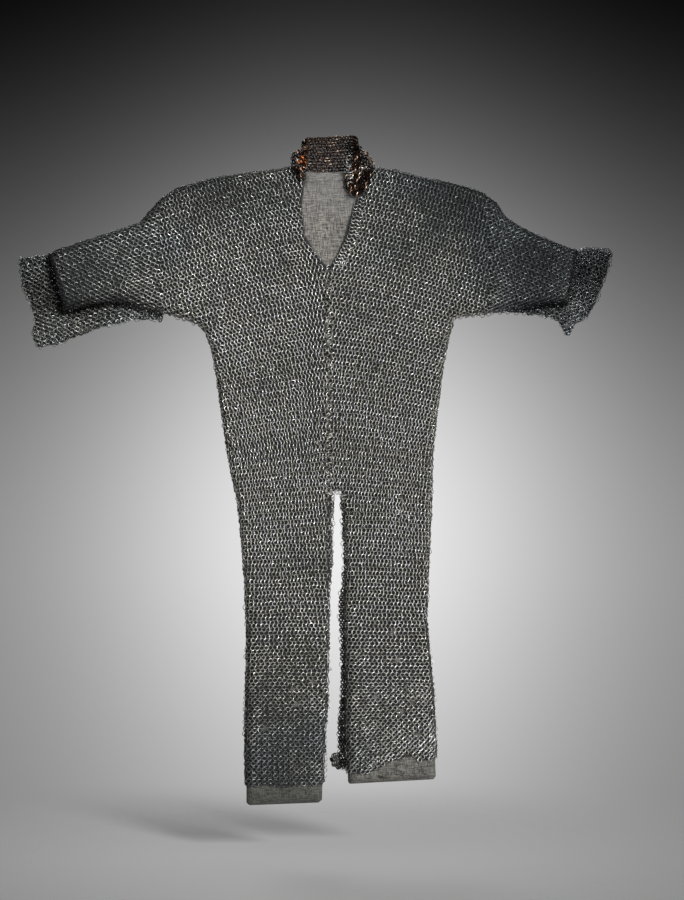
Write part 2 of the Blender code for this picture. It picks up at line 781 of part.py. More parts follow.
def make_tongue():
    """Tongue of mail at the lower end of the left leg's loose edge, which folds about its root."""
    bottom, top = loose_edge(LEFT)[:2]
    x, z = unit(top[0] - bottom[0], top[1] - bottom[1])
    height = dist(bottom, top)
    outline = []
    for out, up in [(0, 0), *TONGUE_SHARES, (0, 1)]:
        away = FIT + TONGUE_LENGTH * out
        outline.append((bottom[0] + x * height * up - z * away, bottom[1] + z * height * up + x * away))
    tongue = prism("hem_tongue", outline, mail_back, mail_back - MAIL, finish="mail")
    set_pivot(tongue, Vector((outline[0][0], mail_back - MAIL, outline[0][1])))


def make_collar():
    """Standing collar, the thongs round its inside and its two loose front ends."""
    spread = pi - COLLAR_OPEN_ANGLE
    standing_band(
        "collar_band", 0, MAIL, collar_bottom, COLLAR_HEIGHT, spread, "rusty_mail", THONG_COUNT
    )
    row = COLLAR_HEIGHT / THONG_COUNT
    for index in range(THONG_COUNT):
        bottom = collar_bottom + row * (index + 0.5) - THONG_HEIGHT / 2
        name = f"collar_thong_{index + 1:02d}"
        standing_band(name, MAIL + FIT, THONG_THICKNESS, bottom, THONG_HEIGHT, spread, "leather")
    for side in SIDES:
        size = LAPPETS[side["name"]]
        top = collar_bottom + COLLAR_HEIGHT - size["top_drop"]
        tip = side_point(side, size["inside"], top - size["height"])
        corner = side_point(side, size["inside"] + size["width"], top)
        outline = between(tip, corner, size["lappet_shares"])
        back = mail_front - FIT
        name = side["name"] + "_collar_lappet"
        lappet = prism(name, outline, back, back - MAIL, finish="rusty_mail")
        set_pivot(lappet, Vector((corner[0], back, top)))


def main():
    clear_scene()
    outline = form_outline()
    regions = {
        name: through_region(name + "_region", area) for name, area in section_outlines().items()
    }
    screw_holes = make_form(outline, regions)
    make_cleat(screw_holes)

    room = grown(outline, FIT)
    hollow = prism("hollow", room, mail_back_inner, mail_front_inner, FORM_ROUNDING)
    open_hollow = prism("open_hollow", room, OVERRUN, mail_front_inner, FORM_ROUNDING)
    make_body_mail(outline, regions, open_hollow, screw_holes)
    for side in SIDES:
        make_sleeve(side, outline, regions[side["name"] + "_arm"], hollow)
        make_cuff(side)
        make_leg_mail(side, outline, hollow)
    make_tongue()
    make_collar()


main()
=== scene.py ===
import json
import math

import bmesh
import bpy
import numpy as np
from mathutils import Matrix, Vector
from mathutils.bvhtree import BVHTree


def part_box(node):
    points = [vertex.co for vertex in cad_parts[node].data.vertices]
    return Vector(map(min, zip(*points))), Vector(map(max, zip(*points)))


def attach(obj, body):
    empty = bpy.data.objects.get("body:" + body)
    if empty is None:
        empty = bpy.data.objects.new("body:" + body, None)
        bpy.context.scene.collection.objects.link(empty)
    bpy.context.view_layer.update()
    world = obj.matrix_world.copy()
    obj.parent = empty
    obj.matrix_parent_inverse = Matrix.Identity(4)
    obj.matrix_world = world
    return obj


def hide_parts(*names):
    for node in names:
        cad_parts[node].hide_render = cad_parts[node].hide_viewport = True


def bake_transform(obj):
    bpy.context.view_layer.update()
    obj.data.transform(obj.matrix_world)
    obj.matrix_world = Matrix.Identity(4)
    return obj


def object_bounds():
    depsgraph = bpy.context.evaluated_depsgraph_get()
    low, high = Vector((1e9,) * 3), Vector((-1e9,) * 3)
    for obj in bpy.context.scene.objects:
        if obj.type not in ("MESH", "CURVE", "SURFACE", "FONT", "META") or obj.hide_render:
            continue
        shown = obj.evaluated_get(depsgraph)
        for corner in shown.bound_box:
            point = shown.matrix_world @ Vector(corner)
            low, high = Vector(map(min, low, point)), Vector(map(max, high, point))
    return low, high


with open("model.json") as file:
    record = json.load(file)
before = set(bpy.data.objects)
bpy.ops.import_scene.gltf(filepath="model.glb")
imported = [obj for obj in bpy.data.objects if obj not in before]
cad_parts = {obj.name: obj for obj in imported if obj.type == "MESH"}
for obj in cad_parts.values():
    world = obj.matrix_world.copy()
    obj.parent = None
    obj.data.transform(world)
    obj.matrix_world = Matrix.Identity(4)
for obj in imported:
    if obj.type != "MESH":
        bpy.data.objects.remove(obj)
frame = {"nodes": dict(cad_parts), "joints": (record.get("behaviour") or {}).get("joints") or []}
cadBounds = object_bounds()
nodes = frame["nodes"]
suitBody = "suit_on_form"
sections = ["body", "right_arm", "left_arm", "right_leg", "left_leg"]
frontMail = ["right_front_mail", "left_front_mail", "front_closure"]
limbMail = ["right_sleeve_mail", "left_sleeve_mail", "right_leg_mail", "left_leg_mail"]
cuffMail = ["right_cuff", "left_cuff"]
print("frame loaded")


# Materials

def mathStep(operation, swapped=False):
    def step(flow, other):
        first, second = (other, flow) if swapped else (flow, other)
        made = flow.nodeSet.add("ShaderNodeMath", {"operation": operation}, {0: first, 1: second})
        return Flow(flow.nodeSet, made.outputs[0])
    return step


class Flow:
    # a number on its way through the nodes of a material or a world
    def __init__(self, nodeSet, socket):
        self.nodeSet = nodeSet
        self.socket = socket

    __add__ = mathStep("ADD")
    __radd__ = mathStep("ADD", True)
    __sub__ = mathStep("SUBTRACT")
    __rsub__ = mathStep("SUBTRACT", True)
    __mul__ = mathStep("MULTIPLY")
    __rmul__ = mathStep("MULTIPLY", True)
    __pow__ = mathStep("POWER")
    __rpow__ = mathStep("POWER", True)
    orElse = mathStep("MAXIMUM")

    def above(self, level, softness):
        # 0 below the level and 1 above it, with a soft step between
        ramp = {"interpolation_type": "SMOOTHSTEP"}
        spread = {"Value": self, "From Min": level - softness, "From Max": level + softness}
        return Flow(self.nodeSet, self.nodeSet.add("ShaderNodeMapRange", ramp, spread).outputs["Result"])


class NodeSet:
    # the nodes of a material or a world
    def __init__(self, tree):
        self.tree = tree

    def add(self, kind, settings, sockets):
        made = self.tree.nodes.new(kind)
        for key, value in settings.items():
            setattr(made, key, value)
        for key, value in sockets.items():
            self.feed(made.inputs[key], value)
        return made

    def feed(self, target, value):
        if isinstance(value, Flow):
            value = value.socket
        if isinstance(value, bpy.types.NodeSocket):
            self.tree.links.new(value, target)
        else:
            target.default_value = value

    def number(self, kind, output, settings, sockets):
        return Flow(self, self.add(kind, settings, sockets).outputs[output])

    def mixed(self, share, first, second, blend="MIX"):
        made = self.add("ShaderNodeMix", {"data_type": "RGBA", "blend_type": blend}, {})
        self.feed(made.inputs[0], share)
        self.feed(made.inputs[6], first)
        self.feed(made.inputs[7], second)
        return made.outputs[2]


class Finish(NodeSet):
    # a material under construction
    def __init__(self, name):
        self.material = bpy.data.materials.new(name)
        self.material.use_nodes = True
        super().__init__(self.material.node_tree)
        self.shader = self.tree.nodes["Principled BSDF"]

    def set(self, **sockets):
        for key, value in sockets.items():
            words = key.replace("_", " ")
            self.feed(self.shader.inputs[words], value)

    def objectPlace(self, scale=(1, 1, 1), shift=(0, 0, 0)):
        place = self.add("ShaderNodeTexCoord", {}, {}).outputs["Object"]
        sockets = {"Vector": place, "Scale": scale, "Location": shift}
        return self.add("ShaderNodeMapping", {}, sockets).outputs["Vector"]

    def noise(self, place, scale, detail=2.0, roughness=0.5):
        sockets = {"Vector": place, "Scale": scale, "Detail": detail, "Roughness": roughness}
        return self.number("ShaderNodeTexNoise", "Fac", {}, sockets)

    def smear(self, middle, reach):
        # 1 in the middle of an oval place seen from the front, fading to 0 round it
        scale = (1 / reach[0], 1, 1 / reach[1])
        shift = (-middle[0] / reach[0], 0, -middle[1] / reach[1])
        flatten = {0: self.objectPlace(scale, shift), 1: (1, 0, 1)}
        flat = self.add("ShaderNodeVectorMath", {"operation": "MULTIPLY"}, flatten).outputs[0]
        away = self.number("ShaderNodeVectorMath", "Value", {"operation": "LENGTH"}, {0: flat})
        return 1 - away.above(1.0, 0.6)

    def attribute(self, name, output):
        settings = {"attribute_type": "GEOMETRY", "attribute_name": name}
        return self.add("ShaderNodeAttribute", settings, {}).outputs[output]

    def bump(self, height, strength, distance):
        sockets = {"Height": height, "Strength": strength, "Distance": distance}
        self.set(Normal=self.add("ShaderNodeBump", {}, sockets).outputs["Normal"])


def mailMetal(name, look):
    # bare wire where it rubs, with a dull crust between
    finish = Finish(name)
    place = finish.objectPlace()
    crust = finish.noise(place, look["crustScale"], 3.0, 0.6).above(look["crustLevel"], 0.10)
    fine = finish.noise(place, look["grainScale"], 2.0)
    # ringTone carries each ring's colour with its painted shade and highlights
    tone = finish.attribute("ringTone", "Color")
    colour = finish.mixed(crust, tone, finish.mixed(1.0, tone, look["crustColour"], "MULTIPLY"))
    finish.set(
        Base_Color=colour,
        Metallic=look["metal"] - crust * look["crustDullness"],
        Roughness=look["roughness"] + crust * 0.22 + (fine - 0.5) * 0.2,
        Specular_IOR_Level=look["gloss"],
    )
    finish.bump(fine, 0.25, 0.0003)
    return finish.material


# dark places on the linen: painted shadows beside and below the lappets, painted shade on the left foot's
# inner corner, a darker top of the opening, and a small hole and a slit painted dark
linenSpotsAndShadows = {
    "top of the opening": {
        "place": (0.0, 0.140), "reach": (0.07, 0.075), "share": 0.42, "tone": (0.075, 0.075, 0.074, 1),
    },
    # painted shadow of the left lappet, beside and below it
    "beside the left lappet": {
        "place": (0.032, 0.136), "reach": (0.013, 0.030), "share": 0.55, "tone": (0.035, 0.037, 0.038, 1),
    },
    "below the left lappet": {
        "place": (0.046, 0.094), "reach": (0.012, 0.010), "share": 0.75, "tone": (0.035, 0.040, 0.040, 1),
    },
    # painted shadow of the right lappet
    "below the right lappet": {
        "place": (-0.056, 0.130), "reach": (0.008, 0.014), "share": 0.8, "tone": (0.02, 0.02, 0.02, 1),
    },
    "small hole in the opening": {
        "place": (0.0366, 0.0875), "reach": (0.0034, 0.0044), "share": 0.9, "tone": (0.04, 0.042, 0.042, 1),
    },
    "slit at the left foot": {
        "place": (0.107, -1.128), "reach": (0.0070, 0.0022), "share": 1.0, "tone": (0.004, 0.004, 0.004, 1),
    },
    # painted shade on the side of the foot that faces away from the light
    "left foot's inner corner": {
        "place": (0.036, -1.125), "reach": (0.006, 0.035), "share": 0.85, "tone": (0.015, 0.016, 0.016, 1),
    },
}


def linenCloth():
    # uneven threads both ways, greener and darker towards the feet, with painted shadows and dark spots, and
    # painted near-black shade where mail lies over the cloth
    look = {
        "light": (0.188, 0.175, 0.158, 1),
        "dark": (0.016, 0.0156, 0.0145, 1),
        "slub": (0.33, 0.315, 0.29, 1),
        "stain": (0.315, 0.350, 0.310, 1),
        # painted shade: the cloth's colour where mail lies over it
        "underMail": (0.004, 0.0045, 0.005, 1),
        "threadScale": 520,
        "slubScale": 420,
    }
    finish = Finish("linenCloth")
    weft = finish.noise(finish.objectPlace((0.10, 0.10, 1.0)), look["threadScale"], 3.0, 0.7)
    warp = finish.noise(finish.objectPlace((1.0, 1.0, 0.10)), look["threadScale"], 3.0, 0.7)
    slub = finish.noise(finish.objectPlace((0.03, 0.03, 1.0)), look["slubScale"], 2.0, 0.6)
    fleck = finish.noise(finish.objectPlace(), 900.0, 2.0, 0.6)
    blotch = finish.noise(finish.objectPlace(), 14.0, 3.0)
    threads = weft * 0.36 + warp * 0.36 + fleck * 0.28
    cloth = finish.mixed(threads.above(0.5, 0.065), look["dark"], look["light"])
    cloth = finish.mixed(slub.above(0.66, 0.08) * 0.22, cloth, look["slub"])
    cloth = finish.mixed((blotch - 0.42) * 1.4, cloth, look["dark"])
    # painted shadows and dark spots in the listed places
    for spot in linenSpotsAndShadows.values():
        cloth = finish.mixed(finish.smear(spot["place"], spot["reach"]) * spot["share"], cloth, spot["tone"])
    grime = Flow(finish, finish.attribute("grime", "Fac"))
    cloth = finish.mixed(grime, cloth, finish.mixed(1.0, cloth, look["stain"], "MULTIPLY"))
    # painted near-black shade where the underMail mark says mail lies over the cloth
    under = Flow(finish, finish.attribute("underMail", "Fac"))
    finish.set(Base_Color=finish.mixed(under, cloth, look["underMail"]), Roughness=0.92, Sheen_Weight=0.05)
    finish.bump(threads + slub * 0.4, 0.6, 0.0007)
    return finish.material


def sawnWood(name, look):
    finish = Finish(name)
    long = finish.objectPlace(look["stretch"])
    grain = finish.noise(long, look["grainScale"], 5.0, 0.6)
    pores = finish.noise(long, look["grainScale"] * 7, 2.0)
    cloud = finish.noise(finish.objectPlace(), 14.0, 2.0)
    colour = finish.mixed(grain.above(0.5, 0.22), look["late"], look["early"])
    colour = finish.mixed((cloud - 0.4) * 0.5, colour, look["stain"])
    finish.set(Base_Color=colour, Roughness=0.55 + grain * 0.2)
    finish.bump(grain * 0.6 + pores * 0.4, 0.35, 0.0005)
    return finish.material


def zincPlate():
    finish = Finish("zincPlate")
    place = finish.objectPlace()
    cloud = finish.noise(place, 600.0, 3.0)
    colour = finish.mixed(cloud, (0.42, 0.43, 0.45, 1), (0.62, 0.63, 0.64, 1))
    finish.set(Base_Color=colour, Metallic=0.95, Roughness=0.28 + cloud * 0.25)
    finish.bump(finish.noise(place, 1500.0), 0.15, 0.0002)
    return finish.material


def thongLeather():
    finish = Finish("thongLeather")
    place = finish.objectPlace()
    creases = finish.noise(place, 420.0, 4.0, 0.65)
    cloud = finish.noise(place, 60.0, 2.0)
    colour = finish.mixed(creases, (0.006, 0.0035, 0.002, 1), (0.028, 0.013, 0.0075, 1))
    colour = finish.mixed((cloud - 0.35) * 0.8, colour, (0.045, 0.023, 0.013, 1))
    finish.set(Base_Color=colour, Roughness=0.7 + creases * 0.2, Specular_IOR_Level=0.15)
    finish.bump(creases, 0.5, 0.0004)
    return finish.material


# Pieces, and the outlines and levels that come from the frame

def putIn(name, data):
    piece = bpy.data.objects.new(name, data)
    bpy.context.scene.collection.objects.link(piece)
    return piece


def meshFrom(build, name):
    mesh = bpy.data.meshes.new(name)
    build.to_mesh(mesh)
    build.free()
    return mesh


def vectorsOf(mesh, kind):
    flat = np.zeros(len(mesh.vertices) * 3, np.float32)
    mesh.vertices.foreach_get(kind, flat)
    return flat.reshape(-1, 3)


def meshFaces(names):
    points, faces = [], []
    for name in names:
        mesh = nodes[name].data
        start = len(points)
        points += [vertex.co.copy() for vertex in mesh.vertices]
        faces += [[start + index for index in face.vertices] for face in mesh.polygons]
    return points, faces


def solidOf(names):
    return BVHTree.FromPolygons(*meshFaces(names))


def seenFromFront(solid, plan):
    # the depth where a straight look from the front meets the solid, or nan
    depths = np.full(len(plan), np.nan)
    for index, (x, z) in enumerate(plan):
        hit = solid.ray_cast(Vector((x, -1, z)), Vector((0, 1, 0)))[0]
        if hit:
            depths[index] = hit.y
    return depths


def welded(name):
    build = bmesh.new()
    build.from_mesh(nodes[name].data)
    bmesh.ops.remove_doubles(build, verts=build.verts, dist=0.00002)
    return build


def flatEdges(names, level):
    # edges round the flat faces at one level, as start, end and outward direction
    rows = []
    for name in names:
        build = welded(name)
        flat = set(
            face for face in build.faces if all(abs(corner.co.y - level) < 0.0001 for corner in face.verts)
        )
        for edge in build.edges:
            beside = [face for face in edge.link_faces if face in flat]
            if len(beside) == 1:
                start, end = edge.verts[0].co, edge.verts[1].co
                inside = beside[0].calc_center_median()
                across = Vector((end.z - start.z, 0, start.x - end.x)).normalized()
                if across.dot(inside - start) > 0:
                    across.negate()
                rows.append((start.x, start.z, end.x, end.z, across.x, across.z))
        build.free()
    return np.array(rows)


def shortened(edges, length):
    pieces = []
    for row in edges:
        count = max(1, math.ceil(math.dist(row[:2], row[2:4]) / length))
        steps = np.linspace(0, 1, count + 1)[:, None]
        points = row[:2] * (1 - steps) + row[2:4] * steps
        for start, end in zip(points, points[1:]):
            pieces.append((*start, *end, row[4], row[5]))
    return np.array(pieces)


def middles(edges):
    return (edges[:, 0:2] + edges[:, 2:4]) / 2


def clearBeyond(edges, solid, reach):
    # whether nothing of the solid lies just beyond each edge
    return np.isnan(seenFromFront(solid, middles(edges) + edges[:, 4:6] * reach))


def nearestEdge(plan, edges):
    # distance to the nearest edge, its number and the point on it
    distances, numbers, feet = [], [], []
    start, run = edges[:, 0:2], edges[:, 2:4] - edges[:, 0:2]
    length = np.maximum((run ** 2).sum(1), 1e-12)
    for group in np.array_split(plan, max(1, len(plan) // 4000)):
        away = group[:, None, :] - start
        share = np.clip((away * run).sum(2) / length, 0, 1)
        foot = start + share[..., None] * run
        gap = np.linalg.norm(group[:, None, :] - foot, axis=2)
        best = gap.argmin(1)
        rows = np.arange(len(group))
        distances.append(gap[rows, best])
        numbers.append(best)
        feet.append(foot[rows, best])
    return np.concatenate(distances), np.concatenate(numbers), np.concatenate(feet)


covers = [name + "_linen_cover" for name in sections]
mailNodes = frontMail + limbMail + cuffMail + ["hem_tongue"]
formSolid = solidOf(covers)
frontSolid = solidOf(mailNodes)
mailSolids = {name: solidOf([name]) for name in mailNodes}
allMail = solidOf(mailNodes + ["back_mail"])

coverLow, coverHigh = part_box("body_linen_cover")
formFront, formBack = coverLow.y, coverHigh.y
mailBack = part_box("back_mail")[1].y
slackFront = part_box("right_cuff")[0].y
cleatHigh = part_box("hanging_cleat")[1]

edgeStep = 0.008  # longest edge of an outline
seamReach = 0.0015  # an edge with more of the form this far beyond it is a seam
slackReach = 0.010  # an edge with mail this far beyond it has slack mail there
formEdges = flatEdges(covers, formBack)
onCleat = (abs(middles(formEdges)) < (cleatHigh.x, cleatHigh.z)).all(1)
formEdges = shortened(formEdges[~onCleat], edgeStep)
formEdges = formEdges[clearBeyond(formEdges, formSolid, seamReach)]
slackEdge = ~clearBeyond(formEdges, allMail, slackReach)
print("outline of the form:", len(formEdges), "edges,", int(slackEdge.sum()), "with slack mail beyond")


# Weave of the mail

weave = {
    "radius": 0.0049,  # of the middle of the wire
    "wire": 0.00068,  # half its thickness
    "across": 0.0106,  # room that a flat ring takes along its row
    "leastTilt": math.radians(15),
    "lift": 0.0010,  # of the rings' middles above the middle of the mail
    "wander": 0.0011,
    "wanderLengths": (0.10, 0.09),
    "shake": 0.00045,
    "lean": 0.20,  # spread of a ring's own tilt
    "nodShare": 0.7,  # of that spread, for tilting about the row
    "spinSpread": 0.5,  # of where a ring's lap is
    "sizeSpread": 0.035,
    "corner": 0.016,  # rounding of the form's front edge
    "slackSlope": math.radians(72),
    "slackFoot": 0.006,
    "wallTilt": 0.35,  # share of the tilt that is left round the sides
    "rowPaintedLight": 0.06,  # painted light: rows that lean one way are painted brighter than the rows between them, as light from one side shows them
    "recess": (-0.50, 0.60, False),  # heights in the sheet where a ring gets painted shade and where it gets painted highlight
    # share of the light left in the painted shade at the bottom of a ring
    "recessLight": 0.20,
    "quarterLight": 0.62,  # painted light: how much brighter two opposite quarters of each ring are painted than the others, as light from one side would show them
    "quarterLightTurn": math.radians(60),  # of those quarters from the row
    "edgeGap": 0.003,  # from the last rings' middles to the outline
    "onEdge": 0.0005,  # nearer than this to the outline, the way out is the edge's own
    "wellInside": 0.002,  # from the end of the rounding to where the node of a side ring is looked up
    "foldIn": 0.0015,  # how far inside the outline the folded rings stand
    "foldBack": 0.004,  # and how far behind the front layer
    "duskiest": 0.93,  # most light that a side can lose
    "seed": 5,
}
bunched = {
    "pitch": 0.0056,
    "radius": 0.0033,
    "thick": 4.4,
    "gap": 0.0034,  # from the outline
    "depth": (0.45, 0.8),  # share of the way from the front layer to the back
    "lean": 0.5,
    # painted shade inside the layers
    "light": 0.12,
    "seed": 67,
}
# painted shade on mail that faces away from the front, by the way it faces
sideShade = {"left": 0.92, "right": 0.92, "low": 0.90, "high": 0.78, "lowFrom": 0.28, "lowTo": 0.44}
tears = {
    "size": 0.0064,
    "places": [
        (0.144, -0.882), (0.097, -0.960), (0.1735, -0.970), (0.149, -0.990), (0.2142, -0.990),
        (0.186, -1.0385), (0.0819, -1.0616), (0.1323, -0.8247), (0.2192, -0.9444), (-0.0777, -0.9444),
        (-0.0365, -0.929), (-0.0697, -0.9748), (-0.1359, -1.0259), (-0.0137, -1.0105),
    ],
}
mailHalf = 0.0028 + weave["lift"]
sheetHalf = 0.0025  # half of one layer of the slack or back mail
wallStop = 0.0030  # from the end of the wrapped sides to the back layer


def overTheEdge():
    # profiles of mail wrapped round the form's sides or draped down to the slack mail:
    # distance run, plan distance inside the outline, depth and slope
    bend, far = 24, 0.4  # points round a bend, and length of the last stretch
    radius = weave["corner"] + mailHalf
    front = formFront - mailHalf
    back = mailBack - sheetHalf + weave["lift"]
    steps = np.linspace(0, math.pi / 2, bend)
    wall = back - wallStop - (front + radius)
    wrap = {
        "run": np.append(steps * radius, steps[-1] * radius + wall),
        "inside": np.append(radius * (1 - np.sin(steps)), 0),
        "depth": np.append(front + radius * (1 - np.cos(steps)), front + radius + wall),
        "slope": np.append(steps, math.pi / 2),
    }
    slack = slackFront + sheetHalf - weave["lift"]
    slope, foot = weave["slackSlope"], weave["slackFoot"]
    steps = np.linspace(0, slope, bend)
    down = (slack - front) - (radius + foot) * (1 - math.cos(slope))
    run = list(steps * radius)
    inside = list(radius * (1 - np.sin(steps)))
    depth = list(front + radius * (1 - np.cos(steps)))
    angle = list(steps)
    run.append(run[-1] + down / math.sin(slope))
    inside.append(inside[-1] - down / math.tan(slope))
    depth.append(depth[-1] + down)
    angle.append(slope)
    for step in np.linspace(slope, 0, bend // 2)[1:]:
        run.append(run[bend] + (slope - step) * foot)
        inside.append(inside[bend] - foot * (math.sin(slope) - math.sin(step)))
        depth.append(depth[bend] + foot * (math.cos(step) - math.cos(slope)))
        angle.append(step)
    run.append(run[-1] + far)
    inside.append(inside[-1] - far)
    depth.append(depth[-1])
    angle.append(0)
    drape = {"run": run, "inside": inside, "depth": depth, "slope": angle}
    return radius, front, back, slack, wrap, drape


edgeRadius, frontLevel, backLevel, slackLevel, wrapProfile, drapeProfile = overTheEdge()


def rising(value, start, reach):
    # 0 up to the start, 1 past the reach, even between
    return np.clip((value - start) / reach, 0, 1)


def waves(plan, seed, length, count=7):
    # smooth noise over the plan, mostly between -1 and 1
    random = np.random.default_rng(seed)
    total = np.zeros(len(plan))
    for _ in range(count):
        angle, phase = random.uniform(0, 2 * math.pi, 2)
        rate = 2 * math.pi / (length * random.uniform(0.7, 1.5))
        total += np.sin(rate * (plan[:, 0] * math.cos(angle) + plan[:, 1] * math.sin(angle)) + phase)
    return total / math.sqrt(count)


def nearTear(plan):
    # 1 in the middle of a torn place and 0 away from it
    away = np.full(len(plan), np.inf)
    for place in tears["places"]:
        away = np.minimum(away, np.hypot(plan[:, 0] - place[0], plan[:, 1] - place[1]))
    return np.exp(-(away / tears["size"]) ** 4)


def tiltFor(pitch):
    # rings lie flatter where the rows are stretched
    share = np.clip(pitch / weave["across"], 0, math.cos(weave["leastTilt"]))
    return float(np.arccos(share))


def rowLeans(pitch, number, count):
    # the rings of one row all lean one way, and those of the next row the other way
    return np.full(count, tiltFor(pitch) * (1 if number % 2 else -1))


def lattice(area, pitch, link, start=0.0):
    # even rows of a four-in-one weave: plan points, row directions and how each ring leans
    left, right, bottom, top = area
    plan, leans = [], []
    rowStep = math.sqrt(link ** 2 - pitch ** 2 / 4)
    for number, height in enumerate(np.arange(top, bottom, -rowStep)):
        x = np.arange(left + pitch * (start + 0.5 * (number % 2)), right, pitch)
        plan.append(np.stack([x, np.full(len(x), height)], 1))
        leans.append(rowLeans(pitch, number, len(x)))
    plan = np.concatenate(plan)
    return plan, alike(len(plan), (1, 0)), np.concatenate(leans)


def turned(points, angle, about=(0, 0)):
    c, s = math.cos(angle), math.sin(angle)
    away = points - np.array(about)
    return np.stack([away[:, 0] * c - away[:, 1] * s, away[:, 0] * s + away[:, 1] * c], 1) + np.array(about)


def inSpace(plan, depth):
    # plan points or directions with a third coordinate between their two
    return np.stack([plan[:, 0], np.zeros(len(plan)) + depth, plan[:, 1]], 1)


def alike(count, direction):
    return np.tile(np.array(direction, float), (count, 1))


def layOverForm(plan, rows):
    # lays flat lattice points over the form: over its rounded sides, or down to the slack mail
    distance, number, foot = nearestEdge(plan, formEdges)
    inside = ~np.isnan(seenFromFront(formSolid, plan))
    signed = np.where(inside, distance, -distance) + mailHalf
    out = formEdges[number, 4:6]
    clear = distance > weave["onEdge"]
    direct = (foot - plan) / np.maximum(distance, 1e-9)[:, None] * np.where(inside, 1, -1)[:, None]
    out = np.where(clear[:, None], direct, out)
    run = edgeRadius - signed
    slack = slackEdge[number]
    flat = run <= 0
    place = np.zeros((len(plan), 3))
    slope = np.zeros(len(plan))
    for profile, chosen in ((wrapProfile, ~slack), (drapeProfile, slack)):
        inwards = np.interp(run, profile["run"], profile["inside"]) - mailHalf
        spot = foot - out * inwards[:, None]
        here = chosen & ~flat
        place[here, 0] = spot[here, 0]
        place[here, 2] = spot[here, 1]
        place[here, 1] = np.interp(run[here], profile["run"], profile["depth"])
        slope[here] = np.interp(run[here], profile["run"], profile["slope"])
    place[flat] = inSpace(plan[flat], frontLevel)
    out3 = inSpace(out, 0)
    along3 = inSpace(np.stack([-out[:, 1], out[:, 0]], 1), 0)
    ahead = np.array([0.0, -1.0, 0.0])
    cosine, sine = np.cos(slope)[:, None], np.sin(slope)[:, None]
    normal = out3 * sine + ahead * cosine
    downhill = out3 * cosine - ahead * sine
    rows3 = downhill * (rows * out).sum(1)[:, None] + along3 * (rows * along3[:, [0, 2]]).sum(1)[:, None]
    ends = run > wrapProfile["run"][-1]
    hung = place[:, [0, 2]] + out * np.where(flat, 0, weave["edgeGap"])[:, None]
    test = np.where((slack | flat)[:, None], hung, foot - out * (edgeRadius + weave["wellInside"]))
    return place, rows3, normal, test, (slack | flat | ~ends), slack & ~flat, out3


def insideBox(plan, name):
    low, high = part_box(name)
    across = (plan[:, 0] > low.x) & (plan[:, 0] < high.x)
    return np.flatnonzero(across & (plan[:, 1] > low.z) & (plan[:, 1] < high.z))


def picked(names, numbers):
    return np.array(names, dtype=object)[numbers]


def nodeAt(test, names):
    # the mail node that a straight look from the front meets first, by number, or -1
    best = np.full(len(test), np.inf)
    found = np.full(len(test), -1)
    for index, name in enumerate(names):
        places = insideBox(test, name)
        depths = seenFromFront(mailSolids[name], test[places])
        closer = ~np.isnan(depths) & (depths < best[places])
        best[places[closer]] = depths[closer]
        found[places[closer]] = index
    return found


class Rings:
    # a growing list of rings: what add takes, by name, with one value for each ring
    def __init__(self):
        names = ("place", "row", "normal", "lean", "size", "node", "light", "thick")
        self.rows = {name: [] for name in names}

    def add(self, place, row, normal, lean, size, node, light=1.0, thick=1.0):
        given = (place, row, normal, lean, size, node, light, thick)
        for values, value in zip(self.rows.values(), given):
            if np.isscalar(value):
                value = np.full(len(place), value, dtype=object if value is node else float)
            values.append(value)

    def gathered(self):
        return {key: np.concatenate(value) for key, value in self.rows.items()}


bodyWeave = {
    "top": 0.42,
    "bottom": -1.24,
    "reach": 0.42,  # outwards from the closing
    "aroundForm": 0.075,  # how far beyond the form's outline rings are tried
    "sleeveBottom": -0.35,
    "heights": (-1.04, -0.89, -0.74, -0.55, -0.43, -0.28, -0.12),
    "pitch": (0.0110, 0.0097, 0.0078, 0.0067, 0.0065, 0.0072, 0.0082),
    "rowStep": (0.0060, 0.0071, 0.0080, 0.0084, 0.0084, 0.0081, 0.0074),
    "slopeHeights": (-0.98, -0.66, -0.51, -0.36, -0.21, -0.13),
    "slope": (0.0, 0.04, 0.09, 0.15, 0.23, 0.265),  # of the rows down from the closing to the sides
    "steeper": (0.6, 3.0),  # share of the slope at the closing, and what each metre outwards adds
    "legMiddle": 0.11,
    "skew": 0.12,  # of the lowest rows of the left leg, which rise outwards
    "skewFrom": (0.93, 0.15),  # depth where that begins, and over what length it grows
    "wider": 0.25,  # share of the slope that is added to the step between rows
    "firstColumn": 0.25,  # of a pitch from the closing
    "seed": 11,
    "centre": -0.002,
}


